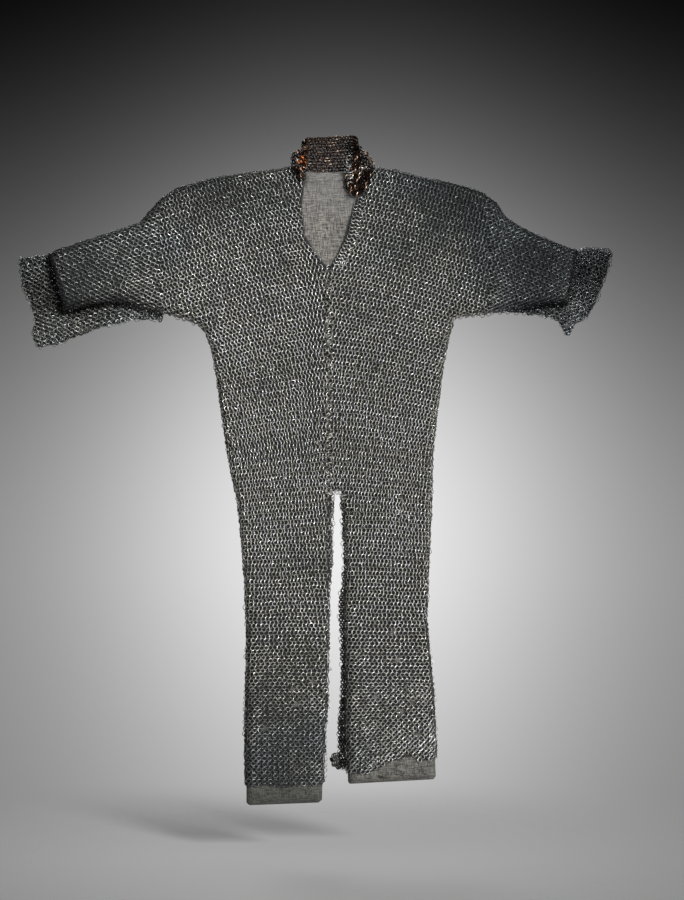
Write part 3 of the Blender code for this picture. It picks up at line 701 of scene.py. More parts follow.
def bodyLattice():
    # rows that fall from the closing to both sides, with their columns square to them
    look = bodyWeave
    reach = look["reach"]
    base, growth = look["steeper"]
    out = np.linspace(0, reach + 0.05, 80)
    plan, rows, leans = [], [], []
    height, number, shift, before = look["top"], 0, 0.0, None
    while height > look["bottom"]:
        pitch = float(np.interp(height, look["heights"], look["pitch"]))
        slope = float(np.interp(height, look["slopeHeights"], look["slope"]))
        rowStep = float(np.interp(height, look["heights"], look["rowStep"])) * (1 + look["wider"] * slope)
        if before:
            lean = slope * (base + growth * look["legMiddle"])
            shift += (look["legMiddle"] + shift) * (pitch / before - 1) + lean * rowStep
        before = pitch
        incline = slope * (base + growth * out)
        run = np.append(0, np.cumsum(np.hypot(np.diff(out), np.diff(out) * incline[:-1])))
        first = math.ceil(shift / pitch - look["firstColumn"])
        steps = np.arange(first, first + reach / pitch) + look["firstColumn"] + 0.5 * (number % 2)
        away = np.interp(steps * pitch - shift, run, out)
        fall = slope * (base * away + growth * away ** 2 / 2)
        angle = np.arctan(slope * (base + growth * away))
        for side in (-1, 1):
            skew = look["skew"] * rising(-height, *look["skewFrom"]) if side > 0 else 0.0
            z = height - fall + skew * (away - look["legMiddle"])
            turn = -side * angle + np.arctan(skew)
            plan.append(np.stack([look["centre"] + side * away, z], 1))
            rows.append(np.stack([np.cos(turn), np.sin(turn)], 1))
            leans.append(rowLeans(pitch, number, len(away)))
        height -= rowStep
        number += 1
    return np.concatenate(plan), np.concatenate(rows), np.concatenate(leans)


def wandered(plan, seed):
    across, along = weave["wanderLengths"]
    shift = np.stack([waves(plan, seed, across), waves(plan, seed + 1, along)], 1)
    return plan + shift * weave["wander"]


closureLow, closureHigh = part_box("front_closure")
closure = {
    "across": (closureLow.x + closureHigh.x) / 2,
    "halfWidth": 0.0030,
    "step": 0.0062,
    "radius": 0.0058,
    "proud": 0.0008,  # of the mail beside it
    "ends": 0.002,  # free length above and below
    "stagger": 0.0020,
    "shake": (0.0014, 0.0008),  # across and along
    "turnSpread": 0.45,
    "leans": (-0.85, -0.35, 0.4, 0.9),
    "light": (0.40, 0.85),
    "seed": 61,
}
neckBorder = {
    "edge": [(0.0580, 0.0924), (0.0430, 0.0105), (0.0250, -0.0252), (0.0075, -0.0546)],
    "rows": 3,
    "rowStep": 0.0062,
    "pitch": 0.0078,
    "firstRow": 0.1,  # of a row step from the edge
    "overlap": 0.6,  # of a row step over the mail beside it
    "from": 0.004,  # across the suit
}


def closureRings(rings):
    # larger rings that draw the two fronts together, none quite in line
    random = np.random.default_rng(closure["seed"])
    heights = np.arange(closureLow.z + closure["ends"], closureHigh.z - closure["ends"], closure["step"])
    count = len(heights)
    across, along = closure["shake"]
    x = closure["across"] + np.where(np.arange(count) % 2, 1, -1) * closure["stagger"]
    x = x + random.normal(0, across, count)
    z = heights + random.normal(0, along, count)
    place = inSpace(np.stack([x, z], 1), frontLevel - closure["proud"])
    turn = random.normal(0, closure["turnSpread"], count)
    rows3 = inSpace(np.stack([np.cos(turn), np.sin(turn)], 1), 0)
    normal = alike(count, (0, -1, 0))
    lean = random.choice(closure["leans"], count)
    light = random.uniform(*closure["light"], count)
    rings.add(place, rows3, normal, lean, closure["radius"], "front_closure", light)


def fromTheNeck(plan):
    # distance from the left edge of the neck opening, beside it only
    ends = np.array(neckBorder["edge"])
    edges = np.concatenate([ends[:-1], ends[1:], np.zeros((len(ends) - 1, 2))], 1)
    past = (plan - ends[-1]) @ (ends[-1] - ends[-2]) > 0
    return np.where(past, 1.0, nearestEdge(plan, edges)[0])


def neckRings(rings):
    # a border of a few rows that follows the left edge of the neck opening
    ends = np.array(neckBorder["edge"])
    run = np.append(0, np.cumsum(np.hypot(*np.diff(ends, axis=0).T)))
    for number in range(neckBorder["rows"]):
        steps = np.arange(0.25 + 0.5 * (number % 2), run[-1] / neckBorder["pitch"]) * neckBorder["pitch"]
        x, z = np.interp(steps, run, ends[:, 0]), np.interp(steps, run, ends[:, 1])
        ahead = np.gradient(np.stack([x, z], 1), axis=0)
        ahead /= np.linalg.norm(ahead, axis=1)[:, None]
        offset = (number + neckBorder["firstRow"]) * neckBorder["rowStep"]
        plan = np.stack([x - ahead[:, 1] * offset, z + ahead[:, 0] * offset], 1)
        layFront(rings, plan, ahead, rowLeans(neckBorder["pitch"], number, len(plan)))


def bodyRings(rings):
    plan, rows, leans = bodyLattice()
    plan = wandered(plan, bodyWeave["seed"])
    sleeve = (plan[:, 0] < -armholes["right"]) | (plan[:, 0] > armholes["left"])
    sleeve &= plan[:, 1] > bodyWeave["sleeveBottom"]
    near = nearestEdge(plan, formEdges)[0]
    inside = ~np.isnan(seenFromFront(formSolid, plan))
    keep = ~sleeve & (inside | (near < bodyWeave["aroundForm"]))
    plan, rows, leans = plan[keep], rows[keep], leans[keep]
    layBack(rings, plan, rows, leans)
    closing = abs(plan[:, 0] - closure["across"]) < closure["halfWidth"]
    border = fromTheNeck(plan) < (neckBorder["rows"] - neckBorder["overlap"]) * neckBorder["rowStep"]
    border &= plan[:, 0] > neckBorder["from"]
    keep = ~closing & ~border & (nearTear(plan) < 0.5)
    layFront(rings, plan[keep], rows[keep], leans[keep])
    neckRings(rings)


def layFront(rings, plan, rows, leans):
    place, rows3, normal, test, valid, loose, out = layOverForm(plan, rows)
    node = nodeAt(test, mailNodes)
    # where slack mail turns to the back, its rings stand on edge
    fold = np.flatnonzero(loose & (node < 0))
    node[fold] = nodeAt(place[fold][:, [0, 2]], mailNodes)
    place[fold] += np.array([0, weave["foldBack"], 0]) - out[fold] * weave["foldIn"]
    rows3[fold] = np.cross(out[fold], np.array([0.0, 1.0, 0.0]))
    normal[fold] = out[fold]
    keep = valid & (node >= 0)
    names = picked(mailNodes, node[keep])
    place, normal = place[keep], normal[keep]
    steep = 1 - abs(normal[:, 1:2])
    place = place - normal * steep * weave["lift"]
    rings.add(place, rows3[keep], normal, leans[keep], weave["radius"], names, sideLight(place, normal))


def sideLight(place, normal):
    # painted shade: mail that faces away from the front is painted darker, most of all below the outer halves
    # of the arms
    look = sideShade
    outwards = (abs(place[:, 0]) - look["lowFrom"]) / (look["lowTo"] - look["lowFrom"])
    low = look["low"] * np.clip(outwards, 0.35, 1)
    shade = np.clip(-normal[:, 0], 0, 1) ** 2 * look["left"]
    shade += np.clip(normal[:, 0], 0, 1) ** 3 * look["right"]
    shade += np.clip(-normal[:, 2], 0, 1) * low + np.clip(normal[:, 2], 0, 1) * look["high"]
    return 1 - np.minimum(shade, weave["duskiest"])


def bunchedRings(rings):
    # bunched mail between the front and the back of the slack parts, where no form lies inside, painted dark
    # and drawn with thick wire as painted shade inside the layers
    random = np.random.default_rng(bunched["seed"])
    names = limbMail + cuffMail
    area = (cadBounds[0][0], cadBounds[1][0], cadBounds[0][2], cadBounds[1][2])
    plan = lattice(area, bunched["pitch"], bunched["pitch"])[0]
    plan = plan[(nodeAt(plan, names) >= 0) & np.isnan(seenFromFront(formSolid, plan))]
    distance, _, foot = nearestEdge(plan, formEdges)
    out = (plan - foot) / np.maximum(distance, 1e-6)[:, None]
    node = nodeAt(plan + out * bunched["gap"], names)
    plan, node = plan[node >= 0], node[node >= 0]
    count = len(plan)
    depth = slackLevel + (backLevel - slackLevel) * random.uniform(*bunched["depth"], count)
    lean = random.uniform(-bunched["lean"], bunched["lean"], count)
    names = picked(names, node)
    rows3, normal = alike(count, (1, 0, 0)), alike(count, (0, -1, 0))
    size, light, thick = bunched["radius"], bunched["light"], bunched["thick"]
    rings.add(inSpace(plan, depth), rows3, normal, lean, size, names, light, thick)


def layBack(rings, plan, rows, leans):
    names = ["back_mail"] + limbMail + cuffMail
    found = np.full(len(plan), -1)
    for index, name in enumerate(names):
        solid = solidOf([name])
        for place in insideBox(plan, name):
            if solid.ray_cast(Vector((plan[place, 0], 1, plan[place, 1])), Vector((0, -1, 0)))[0]:
                found[place] = index
    keep = found >= 0
    place, rows3 = inSpace(plan[keep], backLevel), inSpace(rows[keep], 0)
    normal = alike(len(place), (0, 1, 0))
    rings.add(place, rows3, normal, leans[keep], weave["radius"], picked(names, found[keep]))


armholes = {"right": -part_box("right_sleeve_mail")[1].x, "left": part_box("left_sleeve_mail")[0].x}
sleeves = {
    "right": {"sign": -1, "turn": math.radians(19.5), "pitch": 0.0111, "link": 0.0084, "seed": 31},
    "left": {"sign": 1, "turn": math.radians(-24), "pitch": 0.0103, "link": 0.0079, "seed": 41},
}
sleeveArea = {"height": -0.06, "size": 0.36, "bottom": -0.30}


def sleeveRings(rings, side, look):
    # the rows run along the arms, which both slope down
    start = (look["sign"] * armholes[side], sleeveArea["height"])
    size = sleeveArea["size"]
    area = (start[0] - size, start[0] + size, start[1] - size, start[1] + size)
    plan, rows, leans = lattice(area, look["pitch"], look["link"])
    plan = wandered(turned(plan, look["turn"], start), look["seed"])
    rows = turned(rows, look["turn"])
    outside = look["sign"] * plan[:, 0] > armholes[side]
    keep = outside & (plan[:, 1] > sleeveArea["bottom"])
    plan, rows, leans = plan[keep], rows[keep], leans[keep]
    layFront(rings, plan, rows, leans)
    layBack(rings, plan, rows, leans)


# Rings as meshes

def ringShape(around, section, wireShare):
    # one ring of radius 1 with a thicker lap where its ends are riveted
    build = bmesh.new()
    stand = Matrix.Translation((1, 0, 0)) @ Matrix.Rotation(math.pi / 2, 4, "X")
    bmesh.ops.create_circle(build, segments=section, radius=wireShare, matrix=stand)
    whole = build.verts[:] + build.edges[:]
    bmesh.ops.spin(
        build, geom=whole, cent=(0, 0, 0), axis=(0, 0, 1), angle=2 * math.pi, steps=around, use_merge=True
    )
    bmesh.ops.recalc_face_normals(build, faces=build.faces)
    build.verts.ensure_lookup_table()
    points = np.array([vertex.co[:] for vertex in build.verts])
    build.verts.index_update()
    faces = np.array([[vertex.index for vertex in face.verts] for face in build.faces])
    build.free()
    turn = np.arctan2(points[:, 1], points[:, 0])
    middle = np.stack([np.cos(turn), np.sin(turn), np.zeros(len(turn))], 1)
    lapReach, lapSize = 0.1, 1.45
    lap = np.where(abs(turn) < lapReach, lapSize, 1.0)[:, None]
    return {"middle": middle, "wire": (points - middle) * lap, "faces": faces}


def ringAngles(points):
    # the way round the ring and the way round its wire
    turn = np.arctan2(points[..., 1], points[..., 0])
    out = np.linalg.norm(points[..., :2], axis=-1) - 1
    return np.stack([turn, np.arctan2(points[..., 2], out)], -1)


def ringCells(shape):
    # where each corner of the ring's faces lies in its own small cell of the map
    corners = (shape["middle"] + shape["wire"])[shape["faces"]]
    base = ringAngles(corners.mean(1))[:, None]
    cell = base + (ringAngles(corners) - base + math.pi) % (2 * math.pi) - math.pi
    cell -= cell.reshape(-1, 2).min(0)
    return cell / cell.reshape(-1, 2).max(0)


def depthShadeLevel(height, recess):
    # painted shade where a ring dips into the sheet, or into the middle of a two-sided band, and painted
    # highlight where it stands out
    low, high, twoSided = recess
    share = rising(abs(height) if twoSided else height, low, high - low)
    share = share * share * (3 - 2 * share)
    return weave["recessLight"] + (1 - weave["recessLight"]) * share


def ringPiece(name, rings, shape, material, recess):
    count, faces = len(rings["place"]), shape["faces"]
    points = shape["middle"][None] + shape["wire"][None] * rings["thick"][:, None, None]
    away = points[..., 0:1] * rings["across"][:, None, :] + points[..., 1:2] * rings["up"][:, None, :]
    away += points[..., 2:3] * rings["axis"][:, None, :]
    placed = rings["place"][:, None, :] + rings["size"][:, None, None] * away
    mesh = bpy.data.meshes.new(name)
    joined = faces[None] + (np.arange(count) * points.shape[1])[:, None, None]
    mesh.from_pydata(placed.reshape(-1, 3), [], joined.reshape(-1, 4))
    mesh.shade_smooth()
    side = math.ceil(math.sqrt(count))
    corner = np.stack([np.arange(count) % side, np.arange(count) // side], 1)[:, None, None, :]
    margin = 0.08
    cells = (corner + margin + (1 - 2 * margin) * ringCells(shape)[None]) / side
    layer = mesh.uv_layers.new(name="OFBake")
    layer.uv.foreach_set("vector", cells.astype(np.float32).ravel())
    tone = mesh.attributes.new("ringTone", "FLOAT_COLOR", "POINT")
    # painted shade where a ring dips into the sheet and painted highlight where it stands out
    height = (away * rings["normal"][:, None, :]).sum(2)
    # painted light: two opposite quarters of the ring brighter than the others
    quarter = 2 * (away * rings["quarterLightWay"][:, None, :]).sum(2) ** 2 - (rings["quarterLightWay"] ** 2).sum(1)[:, None]
    level = depthShadeLevel(height + weave["quarterLight"] * quarter, recess)
    colours = np.concatenate([rings["tone"][:, None, :] * level[..., None], np.ones((*level.shape, 1))], 2)
    tone.data.foreach_set("color", colours.astype(np.float32).ravel())
    mesh.materials.append(material)
    piece = putIn(name, mesh)
    return piece


def unitRows(rows):
    return rows / np.maximum(np.linalg.norm(rows, axis=1), 1e-9)[:, None]


def leaned(rings, seed):
    # turns each ring out of the sheet, about the way across its row, and shakes it a little
    random = np.random.default_rng(seed)
    count = len(rings["place"])
    normal = unitRows(rings["normal"])
    row = unitRows(rings["row"])
    up = np.cross(normal, row)
    flat = 1 - (1 - abs(normal[:, 1])) * (1 - weave["wallTilt"])
    angle = rings["lean"] * flat + random.normal(0, weave["lean"], count)
    nod = random.normal(0, weave["lean"] * weave["nodShare"], count)[:, None]
    axis = unitRows(normal * np.cos(angle)[:, None] + row * np.sin(angle)[:, None] + up * nod)
    across = unitRows(np.cross(up, axis))
    up = np.cross(axis, across)
    spin = random.normal(math.pi / 2, weave["spinSpread"], count)[:, None]
    rings["across"] = across * np.cos(spin) + up * np.sin(spin)
    rings["up"] = np.cross(axis, rings["across"])
    rings["axis"] = axis
    rings["normal"] = normal
    rings["place"] = rings["place"] + random.normal(0, weave["shake"], (count, 3))
    rings["size"] = rings["size"] * random.normal(1.0, weave["sizeSpread"], count)
    # the way of the painted light on each ring's quarters
    turn = (2 * onRightChest(rings["place"]) - 1)[:, None] * weave["quarterLightTurn"]
    rings["quarterLightWay"] = row * np.cos(turn) + np.cross(normal, row) * np.sin(turn)
    return rings


def onRightChest(place):
    # 1 on the right chest and sleeve, where the weave is pulled the other way and the painted light on the
    # rings' quarters turns with it, and 0 elsewhere
    return rising(-place[:, 0], 0.02, 0.04) * rising(place[:, 2], -0.48, 0.08)


tones = {
    "plain": (0.95, 0.935, 0.84),
    "blue": (0.56, 0.63, 0.67),
    "ringSpread": 0.28,
    "cloudSpread": 0.10,
    "seed": 3,
}
# painted shade in listed places: on the sleeves, shoulders and cuffs, at the ends and undersides of the arms
# and at the right ankle
paintedShadeSpots = {
    "right sleeve": {"place": (-0.53, -0.09), "reach": (0.16, 0.13), "shadeShare": 0.70},
    "end of the right arm": {"place": (-0.588, -0.074), "reach": (0.016, 0.050), "shadeShare": 0.75},
    "corner of the right arm": {"place": (-0.573, -0.130), "reach": (0.026, 0.020), "shadeShare": 0.80},
    "under the right arm": {"place": (-0.520, -0.145), "reach": (0.060, 0.014), "shadeShare": 0.75},
    "end of the left arm": {"place": (0.525, -0.070), "reach": (0.022, 0.050), "shadeShare": 0.70},
    "under the left arm": {"place": (0.478, -0.148), "reach": (0.024, 0.014), "shadeShare": 0.65},
    "left sleeve": {"place": (0.45, -0.05), "reach": (0.13, 0.14), "shadeShare": 0.84},
    "left cuff": {"place": (0.58, -0.09), "reach": (0.055, 0.14), "shadeShare": 0.92},
    "right cuff": {"place": (-0.635, -0.13), "reach": (0.05, 0.11), "shadeShare": 0.60},
    "left shoulder": {"place": (0.28, 0.08), "reach": (0.18, 0.11), "shadeShare": 0.76},
    "right shoulder": {"place": (-0.23, 0.09), "reach": (0.14, 0.08), "shadeShare": 0.62},
    "right ankle": {"place": (-0.10, -1.12), "reach": (0.13, 0.26), "shadeShare": 0.64},
}


def nearSpot(plan, place, reach):
    # 1 in the middle of an oval place, fading to 0 round it
    return np.exp(-(((plan - place) / reach) ** 2).sum(1))


def toneOf(place, light, seed):
    # brightness and tint of each ring by where it lies on the suit, with painted shade in listed places
    random = np.random.default_rng(seed)
    x, z = place[:, 0], place[:, 2]
    plan = place[:, [0, 2]]
    # painted shade
    for spot in paintedShadeSpots.values():
        light = light * (1 - spot["shadeShare"] * nearSpot(plan, spot["place"], spot["reach"]))
    shoulder = rising(z, -0.10, 0.22) * 0.45
    sleeve = rising(abs(x), 0.26, 0.14) * np.where(x > 0, 0.85, 0.45)
    leftChest = rising(x, 0.05, 0.22) * rising(z, -0.20, 0.2) * 0.35
    shin = rising(-z, 0.93, 0.12) * np.where(x < 0, 0.6, 0.2)
    blue = np.clip(shoulder + sleeve + leftChest + shin + 0.18 * waves(plan, seed + 5, 0.12), 0, 1)[:, None]
    tint = np.array(tones["plain"]) * (1 - blue) + np.array(tones["blue"]) * blue
    level = light * (1 + tones["cloudSpread"] * waves(plan, seed + 9, 0.16))
    level = level * np.exp(random.normal(0, tones["ringSpread"], len(x)))
    return np.clip(tint * level[:, None], 0.02, 0.95)


def chosen(rings, mask):
    return {key: value[mask] for key, value in rings.items()}


def mailPieces(rings, shape, material):
    # one or more pieces for each mail node, none over the limit of faces
    made = {}
    most = 3000
    for node in sorted(set(rings["node"])):
        own = chosen(rings, rings["node"] == node)
        order = np.argsort(-own["place"][:, 2], kind="stable")
        groups = np.array_split(order, math.ceil(len(order) / most))
        for index, group in enumerate(groups):
            name = f"{node}_rings" + (f"_{index + 1}" if len(groups) > 1 else "")
            piece = ringPiece(name, chosen(own, group), shape, material, weave["recess"])
            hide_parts(node)
            made.setdefault(node, []).append(piece)
    return made


steel = mailMetal(
    "mailSteel",
    {
        "crustScale": 260, "crustLevel": 0.56, "crustColour": (0.30, 0.29, 0.26, 1), "crustDullness": 0.35,
        "grainScale": 1800, "metal": 0.78, "roughness": 0.33, "gloss": 0.5,
    },
)

rings = Rings()
bodyRings(rings)
closureRings(rings)
for side, look in sleeves.items():
    sleeveRings(rings, side, look)
bunchedRings(rings)
allRings = rings.gathered()
print("rings laid:", len(allRings["place"]))
allRings = leaned(allRings, weave["seed"])
# painted light: rows leaning one way brighter than the others
rowLight = allRings["light"] * (1 + weave["rowPaintedLight"] * np.sign(allRings["lean"]))
allRings["tone"] = toneOf(allRings["place"], rowLight, tones["seed"])
ring = ringShape(around=10, section=3, wireShare=weave["wire"] / weave["radius"])
pieces = mailPieces(allRings, ring, steel)
joints = {joint["name"]: joint for joint in frame["joints"]}
for node, made in pieces.items():
    for piece in made:
        if node in cuffMail:
            joint = joints[node + "_fold"]
            axis, hinge = Vector(joint["axis"]), Vector(joint["pos_m"])
            away = axis.cross(Vector((0, 1, 0))).normalized()
            if away.x * hinge.x < 0:
                away.negate()
            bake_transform(piece)
        else:
            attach(piece, "tongue" if node == "hem_tongue" else suitBody)
print("mail pieces made:", sum(len(made) for made in pieces.values()))


# Standing collar, its thongs and its loose ends

collarLow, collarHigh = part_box("collar_band")
collar = {
    "openAngle": math.radians(62),
    "halfWidth": (collarHigh.x - collarLow.x) / 2,
    "rows": 12,
    "pitch": 0.0076,
    "radius": 0.0043,
    "wire": 0.00078,
    "inset": 0.0025,  # of the rings' middles inside the outer face
    "shake": 0.0003,
    "wave": 0.0005,  # height of the slow waves in each row
    "sizeSpread": 0.04,
    "flat": math.radians(68),  # how far the rings of a row lie back towards level
    # painted shade in the middle of the band and painted highlight on both its faces
    "recess": (0.25, 0.85, True),
    "taper": 0.085,  # how much narrower the top is
    "rise": 0.0035,  # of the top's left end over its right end
    "droop": 0.010,  # of the top's corners
    "sag": 0.0030,  # of the lowest row's middle
    # painted shade in the fold at the collar's left end
    "foldPlace": (0.042, 0.205),
    "foldReach": (0.014, 0.020),
    "foldShade": 0.8,
    "toneSpread": 0.35,
    "flatSpread": 0.12,
    "roll": (0.16, 0.10),  # of a lying ring along its row, and its spread
    "swing": (0.35, 0.2),  # of a standing ring out of its row, and its spread
    "firstRing": 0.3,  # of a pitch from the opening
    "seed": 71,
}
collar["halfDepth"] = (collarHigh.y - collarLow.y) / (1 + math.cos(collar["openAngle"]))
collar["middle"] = collarHigh.y - collar["halfDepth"]
collar["rowHeight"] = (collarHigh.z - collarLow.z) / collar["rows"]
collarTones = {
    "brown": (0.024, 0.013, 0.008),
    # painted shade: the standing rings down between the rows
    "dark": (0.008, 0.006, 0.005),
    "worn": (0.62, 0.50, 0.40),
    "rust": (0.48, 0.16, 0.05),
}
wornShare = {"lying": 0.125, "standing": 0.03, "hanging": 0.14}
brownShare = 0.45  # of the hanging rings
rustSpots = [
    {"place": (-0.0560, 0.165), "reach": (0.0060, 0.0085)},
    {"place": (-0.0620, 0.190), "reach": (0.0050, 0.0040)},
    {"place": (0.0517, 0.198), "reach": (0.0045, 0.0035)},
]


def roundTheNeck(turn, inset):
    # plan place, way along and way out at an angle round the neck, from straight behind
    wide, deep = collar["halfWidth"] - inset, collar["halfDepth"] - inset
    x, y = wide * np.sin(turn), collar["middle"] + deep * np.cos(turn)
    along = np.stack([wide * np.cos(turn), -deep * np.sin(turn), np.zeros(len(turn))], 1)
    along = unitRows(along)
    out = np.stack([-along[:, 1], along[:, 0], np.zeros(len(turn))], 1)
    out *= np.sign((out * np.stack([x, y - collar["middle"], np.zeros(len(turn))], 1)).sum(1))[:, None]
    return x, y, along, out


def evenTurns(inset, pitch, start):
    # angles that lie one pitch apart along the oval
    last = math.pi - collar["openAngle"]
    fine = np.linspace(-last, last, 800)
    x, y, _, _ = roundTheNeck(fine, inset)
    run = np.append(0, np.cumsum(np.hypot(np.diff(x), np.diff(y))))
    count = int((run[-1] - start * pitch) / pitch)
    return np.interp((start + collar["firstRing"] + np.arange(count)) * pitch, run, fine)


def settled(x, z):
    # leans the top of the collar in, lifts its left end and lets the lowest rows sag
    top = rising(z, collarLow.z, collarHigh.z - collarLow.z)
    share = x / collar["halfWidth"]
    z = z + top * (collar["rise"] * share - collar["droop"] * abs(share) ** 6)
    z = z - (1 - top) * collar["sag"] * (1 - share ** 2)
    return x * (1 - collar["taper"] * top ** 2), z


def collarRings():
    random = np.random.default_rng(collar["seed"])
    made = []
    for row in range(collar["rows"]):
        for kind in ("lying", "standing"):
            if kind == "standing" and row == collar["rows"] - 1:
                continue
            start = 0.5 * (row % 2) + (0.5 if kind == "standing" else 0.0)
            turn = evenTurns(collar["inset"], collar["pitch"], start)
            count = len(turn)
            x, y, along, out = roundTheNeck(turn, collar["inset"])
            height = collarLow.z + collar["rowHeight"] * (row + (0.5 if kind == "lying" else 1.0))
            wave = collar["wave"] * np.sin(turn * 3 + row)
            x, z = settled(x, height + random.normal(0, collar["shake"], count) + wave)
            upward = alike(count, (0, 0, 1))
            if kind == "lying":
                angle = collar["flat"] + random.normal(0, collar["flatSpread"], count)
                roll, spread = collar["roll"]
                roll = random.normal(roll * (1 if row % 2 else -1), spread, count)[:, None]
                axis = out * np.cos(angle)[:, None] + upward * np.sin(angle)[:, None] + along * roll
            else:
                axis = along + out * random.normal(*collar["swing"], count)[:, None]
            axis = unitRows(axis)
            across = unitRows(np.cross(upward if kind == "standing" else out, axis))
            place = np.stack([x, y, z], 1)
            made.append({
                "place": place + random.normal(0, collar["shake"], (count, 3)),
                "axis": axis,
                "across": across,
                "up": np.cross(axis, across),
                "normal": out,
                "quarterLightWay": out * 0,
                "size": collar["radius"] * random.normal(1, collar["sizeSpread"], count),
                "tone": collarTone(place, random, kind),
            })
    joined = {key: np.concatenate([part[key] for part in made]) for key in made[0]}
    joined["thick"] = np.ones(len(joined["place"]))
    piece = ringPiece("collar_rings", joined, fineRing, copper, collar["recess"])
    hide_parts("collar_band")
    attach(piece, suitBody)


def collarTone(place, random, kind):
    count = len(place)
    share = random.random(count)
    base = collarTones["brown" if kind == "lying" else "dark"]
    colour = np.where((share < wornShare[kind])[:, None], collarTones["worn"], base)
    if kind == "hanging":
        colour = np.where((share > 1 - brownShare)[:, None], collarTones["brown"], colour)
    plan = place[:, [0, 2]]
    for spot in rustSpots:
        rusty = (random.random(count) < nearSpot(plan, spot["place"], spot["reach"]))[:, None]
        colour = np.where(rusty, collarTones["rust"], colour)
    # painted shade in the fold
    fold = nearSpot(plan, collar["foldPlace"], collar["foldReach"])
    level = np.exp(random.normal(0, collar["toneSpread"], count)) * (1 - collar["foldShade"] * fold)
    return np.clip(colour * level[:, None], 0.004, 0.9)


def collarThong(number):
    # a strip laced in and out of one row of rings
    look = {"height": 0.0025, "thickness": 0.0011, "inset": 0.0058, "swing": 0.0016, "wave": 0.0004}
    points = 12  # of the strip's middle line in two pitches, which is one swing in and out
    random = np.random.default_rng(100 + number)
    turn = evenTurns(look["inset"], collar["pitch"] * 2 / points, 0)
    phase = np.arange(len(turn)) * 2 * math.pi / points + random.uniform(0, 6)
    x, y, _, out = roundTheNeck(turn, look["inset"])
    height = collarLow.z + collar["rowHeight"] * (number - 0.5) + look["wave"] * np.sin(phase * 0.37 + number)
    x, level = settled(x, height)
    spots = np.stack([x, y, level], 1) + out * (np.sin(phase) * look["swing"])[:, None]
    build = bmesh.new()
    profile = []
    for offset, rise in ((-1, -1), (1, -1), (1, 1), (-1, 1)):
        corner = spots[0] + out[0] * offset * look["thickness"] / 2
        profile.append(build.verts.new((corner[0], corner[1], corner[2] + rise * look["height"] / 2)))
    start = build.faces.new(profile)
    face = start
    for before, after in zip(spots, spots[1:]):
        made = bmesh.ops.extrude_face_region(build, geom=[face])["geom"]
        corners = [item for item in made if isinstance(item, bmesh.types.BMVert)]
        bmesh.ops.translate(build, verts=corners, vec=after - before)
        if face is not start:
            bmesh.ops.delete(build, geom=[face], context="FACES_ONLY")
        face = [item for item in made if isinstance(item, bmesh.types.BMFace)][0]
    bmesh.ops.recalc_face_normals(build, faces=build.faces)
    name = f"collar_thong_{number:02d}"
    mesh = meshFrom(build, name + "_laced")
    mesh.shade_smooth()
    mesh.materials.append(leather)
    piece = putIn(name + "_laced", mesh)
    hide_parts(name)
    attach(piece, suitBody)


lappetLook = {"pitch": 0.0068, "link": 0.0074, "radius": 0.0043, "layers": (0.25, 0.75)}
looseEnds = {
    "right_collar_lappet": {
        **lappetLook, "turn": 0.5, "thick": (1.1, 1.9), "seed": 81, "body": "right_collar_end",
    },
    "left_collar_lappet": {
        **lappetLook, "turn": -0.35, "thick": (1.0, 1.6), "seed": 91, "body": "left_collar_end",
    },
    "hem_tongue": {
        "turn": 0.2, "pitch": 0.0080, "link": 0.0085, "radius": 0.0046,
        "layers": (0.2, 0.5, 0.8), "thick": (1.6, 2.6, 3.0), "seed": 95, "body": "tongue",
    },
}
looseLook = {
    "reach": 0.09,  # from the middle of an end to the edge of the lattice that is tried on it
    "shift": 0.4,  # of a pitch from one layer to the next
    "sag": 0.0008,
    "sagLength": 0.04,
    # painted shade on the rings of the hem tongue
    "light": 0.15,
}
lappetEdge = {
    "from": (0.0395, 0.170),
    "to": (0.0420, 0.118),
    "inset": 0.0012,  # of the rings' middles behind the lappet's front
    "step": 0.0055,
    "radius": 0.0056,
    "least": 0.0050,  # no ring of the lappet's layers is as large
    "shake": 0.0008,
    "lean": 1.05,
    "tone": (0.50, 0.56, 0.60),
    "seed": 97,
}


def looseEnd(name, look):
    # a few layers of rings in one loose end of the mail
    low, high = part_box(name)
    random = np.random.default_rng(look["seed"])
    solid = solidOf([name])
    onCollar = name.endswith("lappet")
    middle = ((low.x + high.x) / 2, (low.z + high.z) / 2)
    reach = looseLook["reach"]
    area = (middle[0] - reach, middle[0] + reach, middle[1] - reach, middle[1] + reach)
    laid = Rings()
    for layer, depth in enumerate(look["layers"]):
        plan, rows, leans = lattice(area, look["pitch"], look["link"], layer * looseLook["shift"])
        plan, rows = turned(plan, look["turn"], middle), turned(rows, look["turn"])
        keep = ~np.isnan(seenFromFront(solid, plan))
        sag = looseLook["sag"] * waves(plan[keep], look["seed"], looseLook["sagLength"])
        place = inSpace(plan[keep], low.y + (high.y - low.y) * depth + sag)
        rows3, normal = inSpace(rows[keep], 0), alike(len(place), (0, -1, 0))
        laid.add(place, rows3, normal, leans[keep], look["radius"], name, 1.0, look["thick"][layer])
    if name == "left_collar_lappet":
        lappetEdgeRings(laid, low.y)
    made = leaned(laid.gathered(), look["seed"])
    if onCollar:
        made["tone"] = collarTone(made["place"], random, "hanging")
        made["tone"][made["size"] > lappetEdge["least"]] = lappetEdge["tone"]
    else:
        made["tone"] = toneOf(made["place"], np.full(len(made["place"]), looseLook["light"]), look["seed"])
    material = copper if onCollar else steel
    piece = ringPiece(name + "_rings", made, fineRing, material, weave["recess"])
    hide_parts(name)
    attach(piece, look["body"])


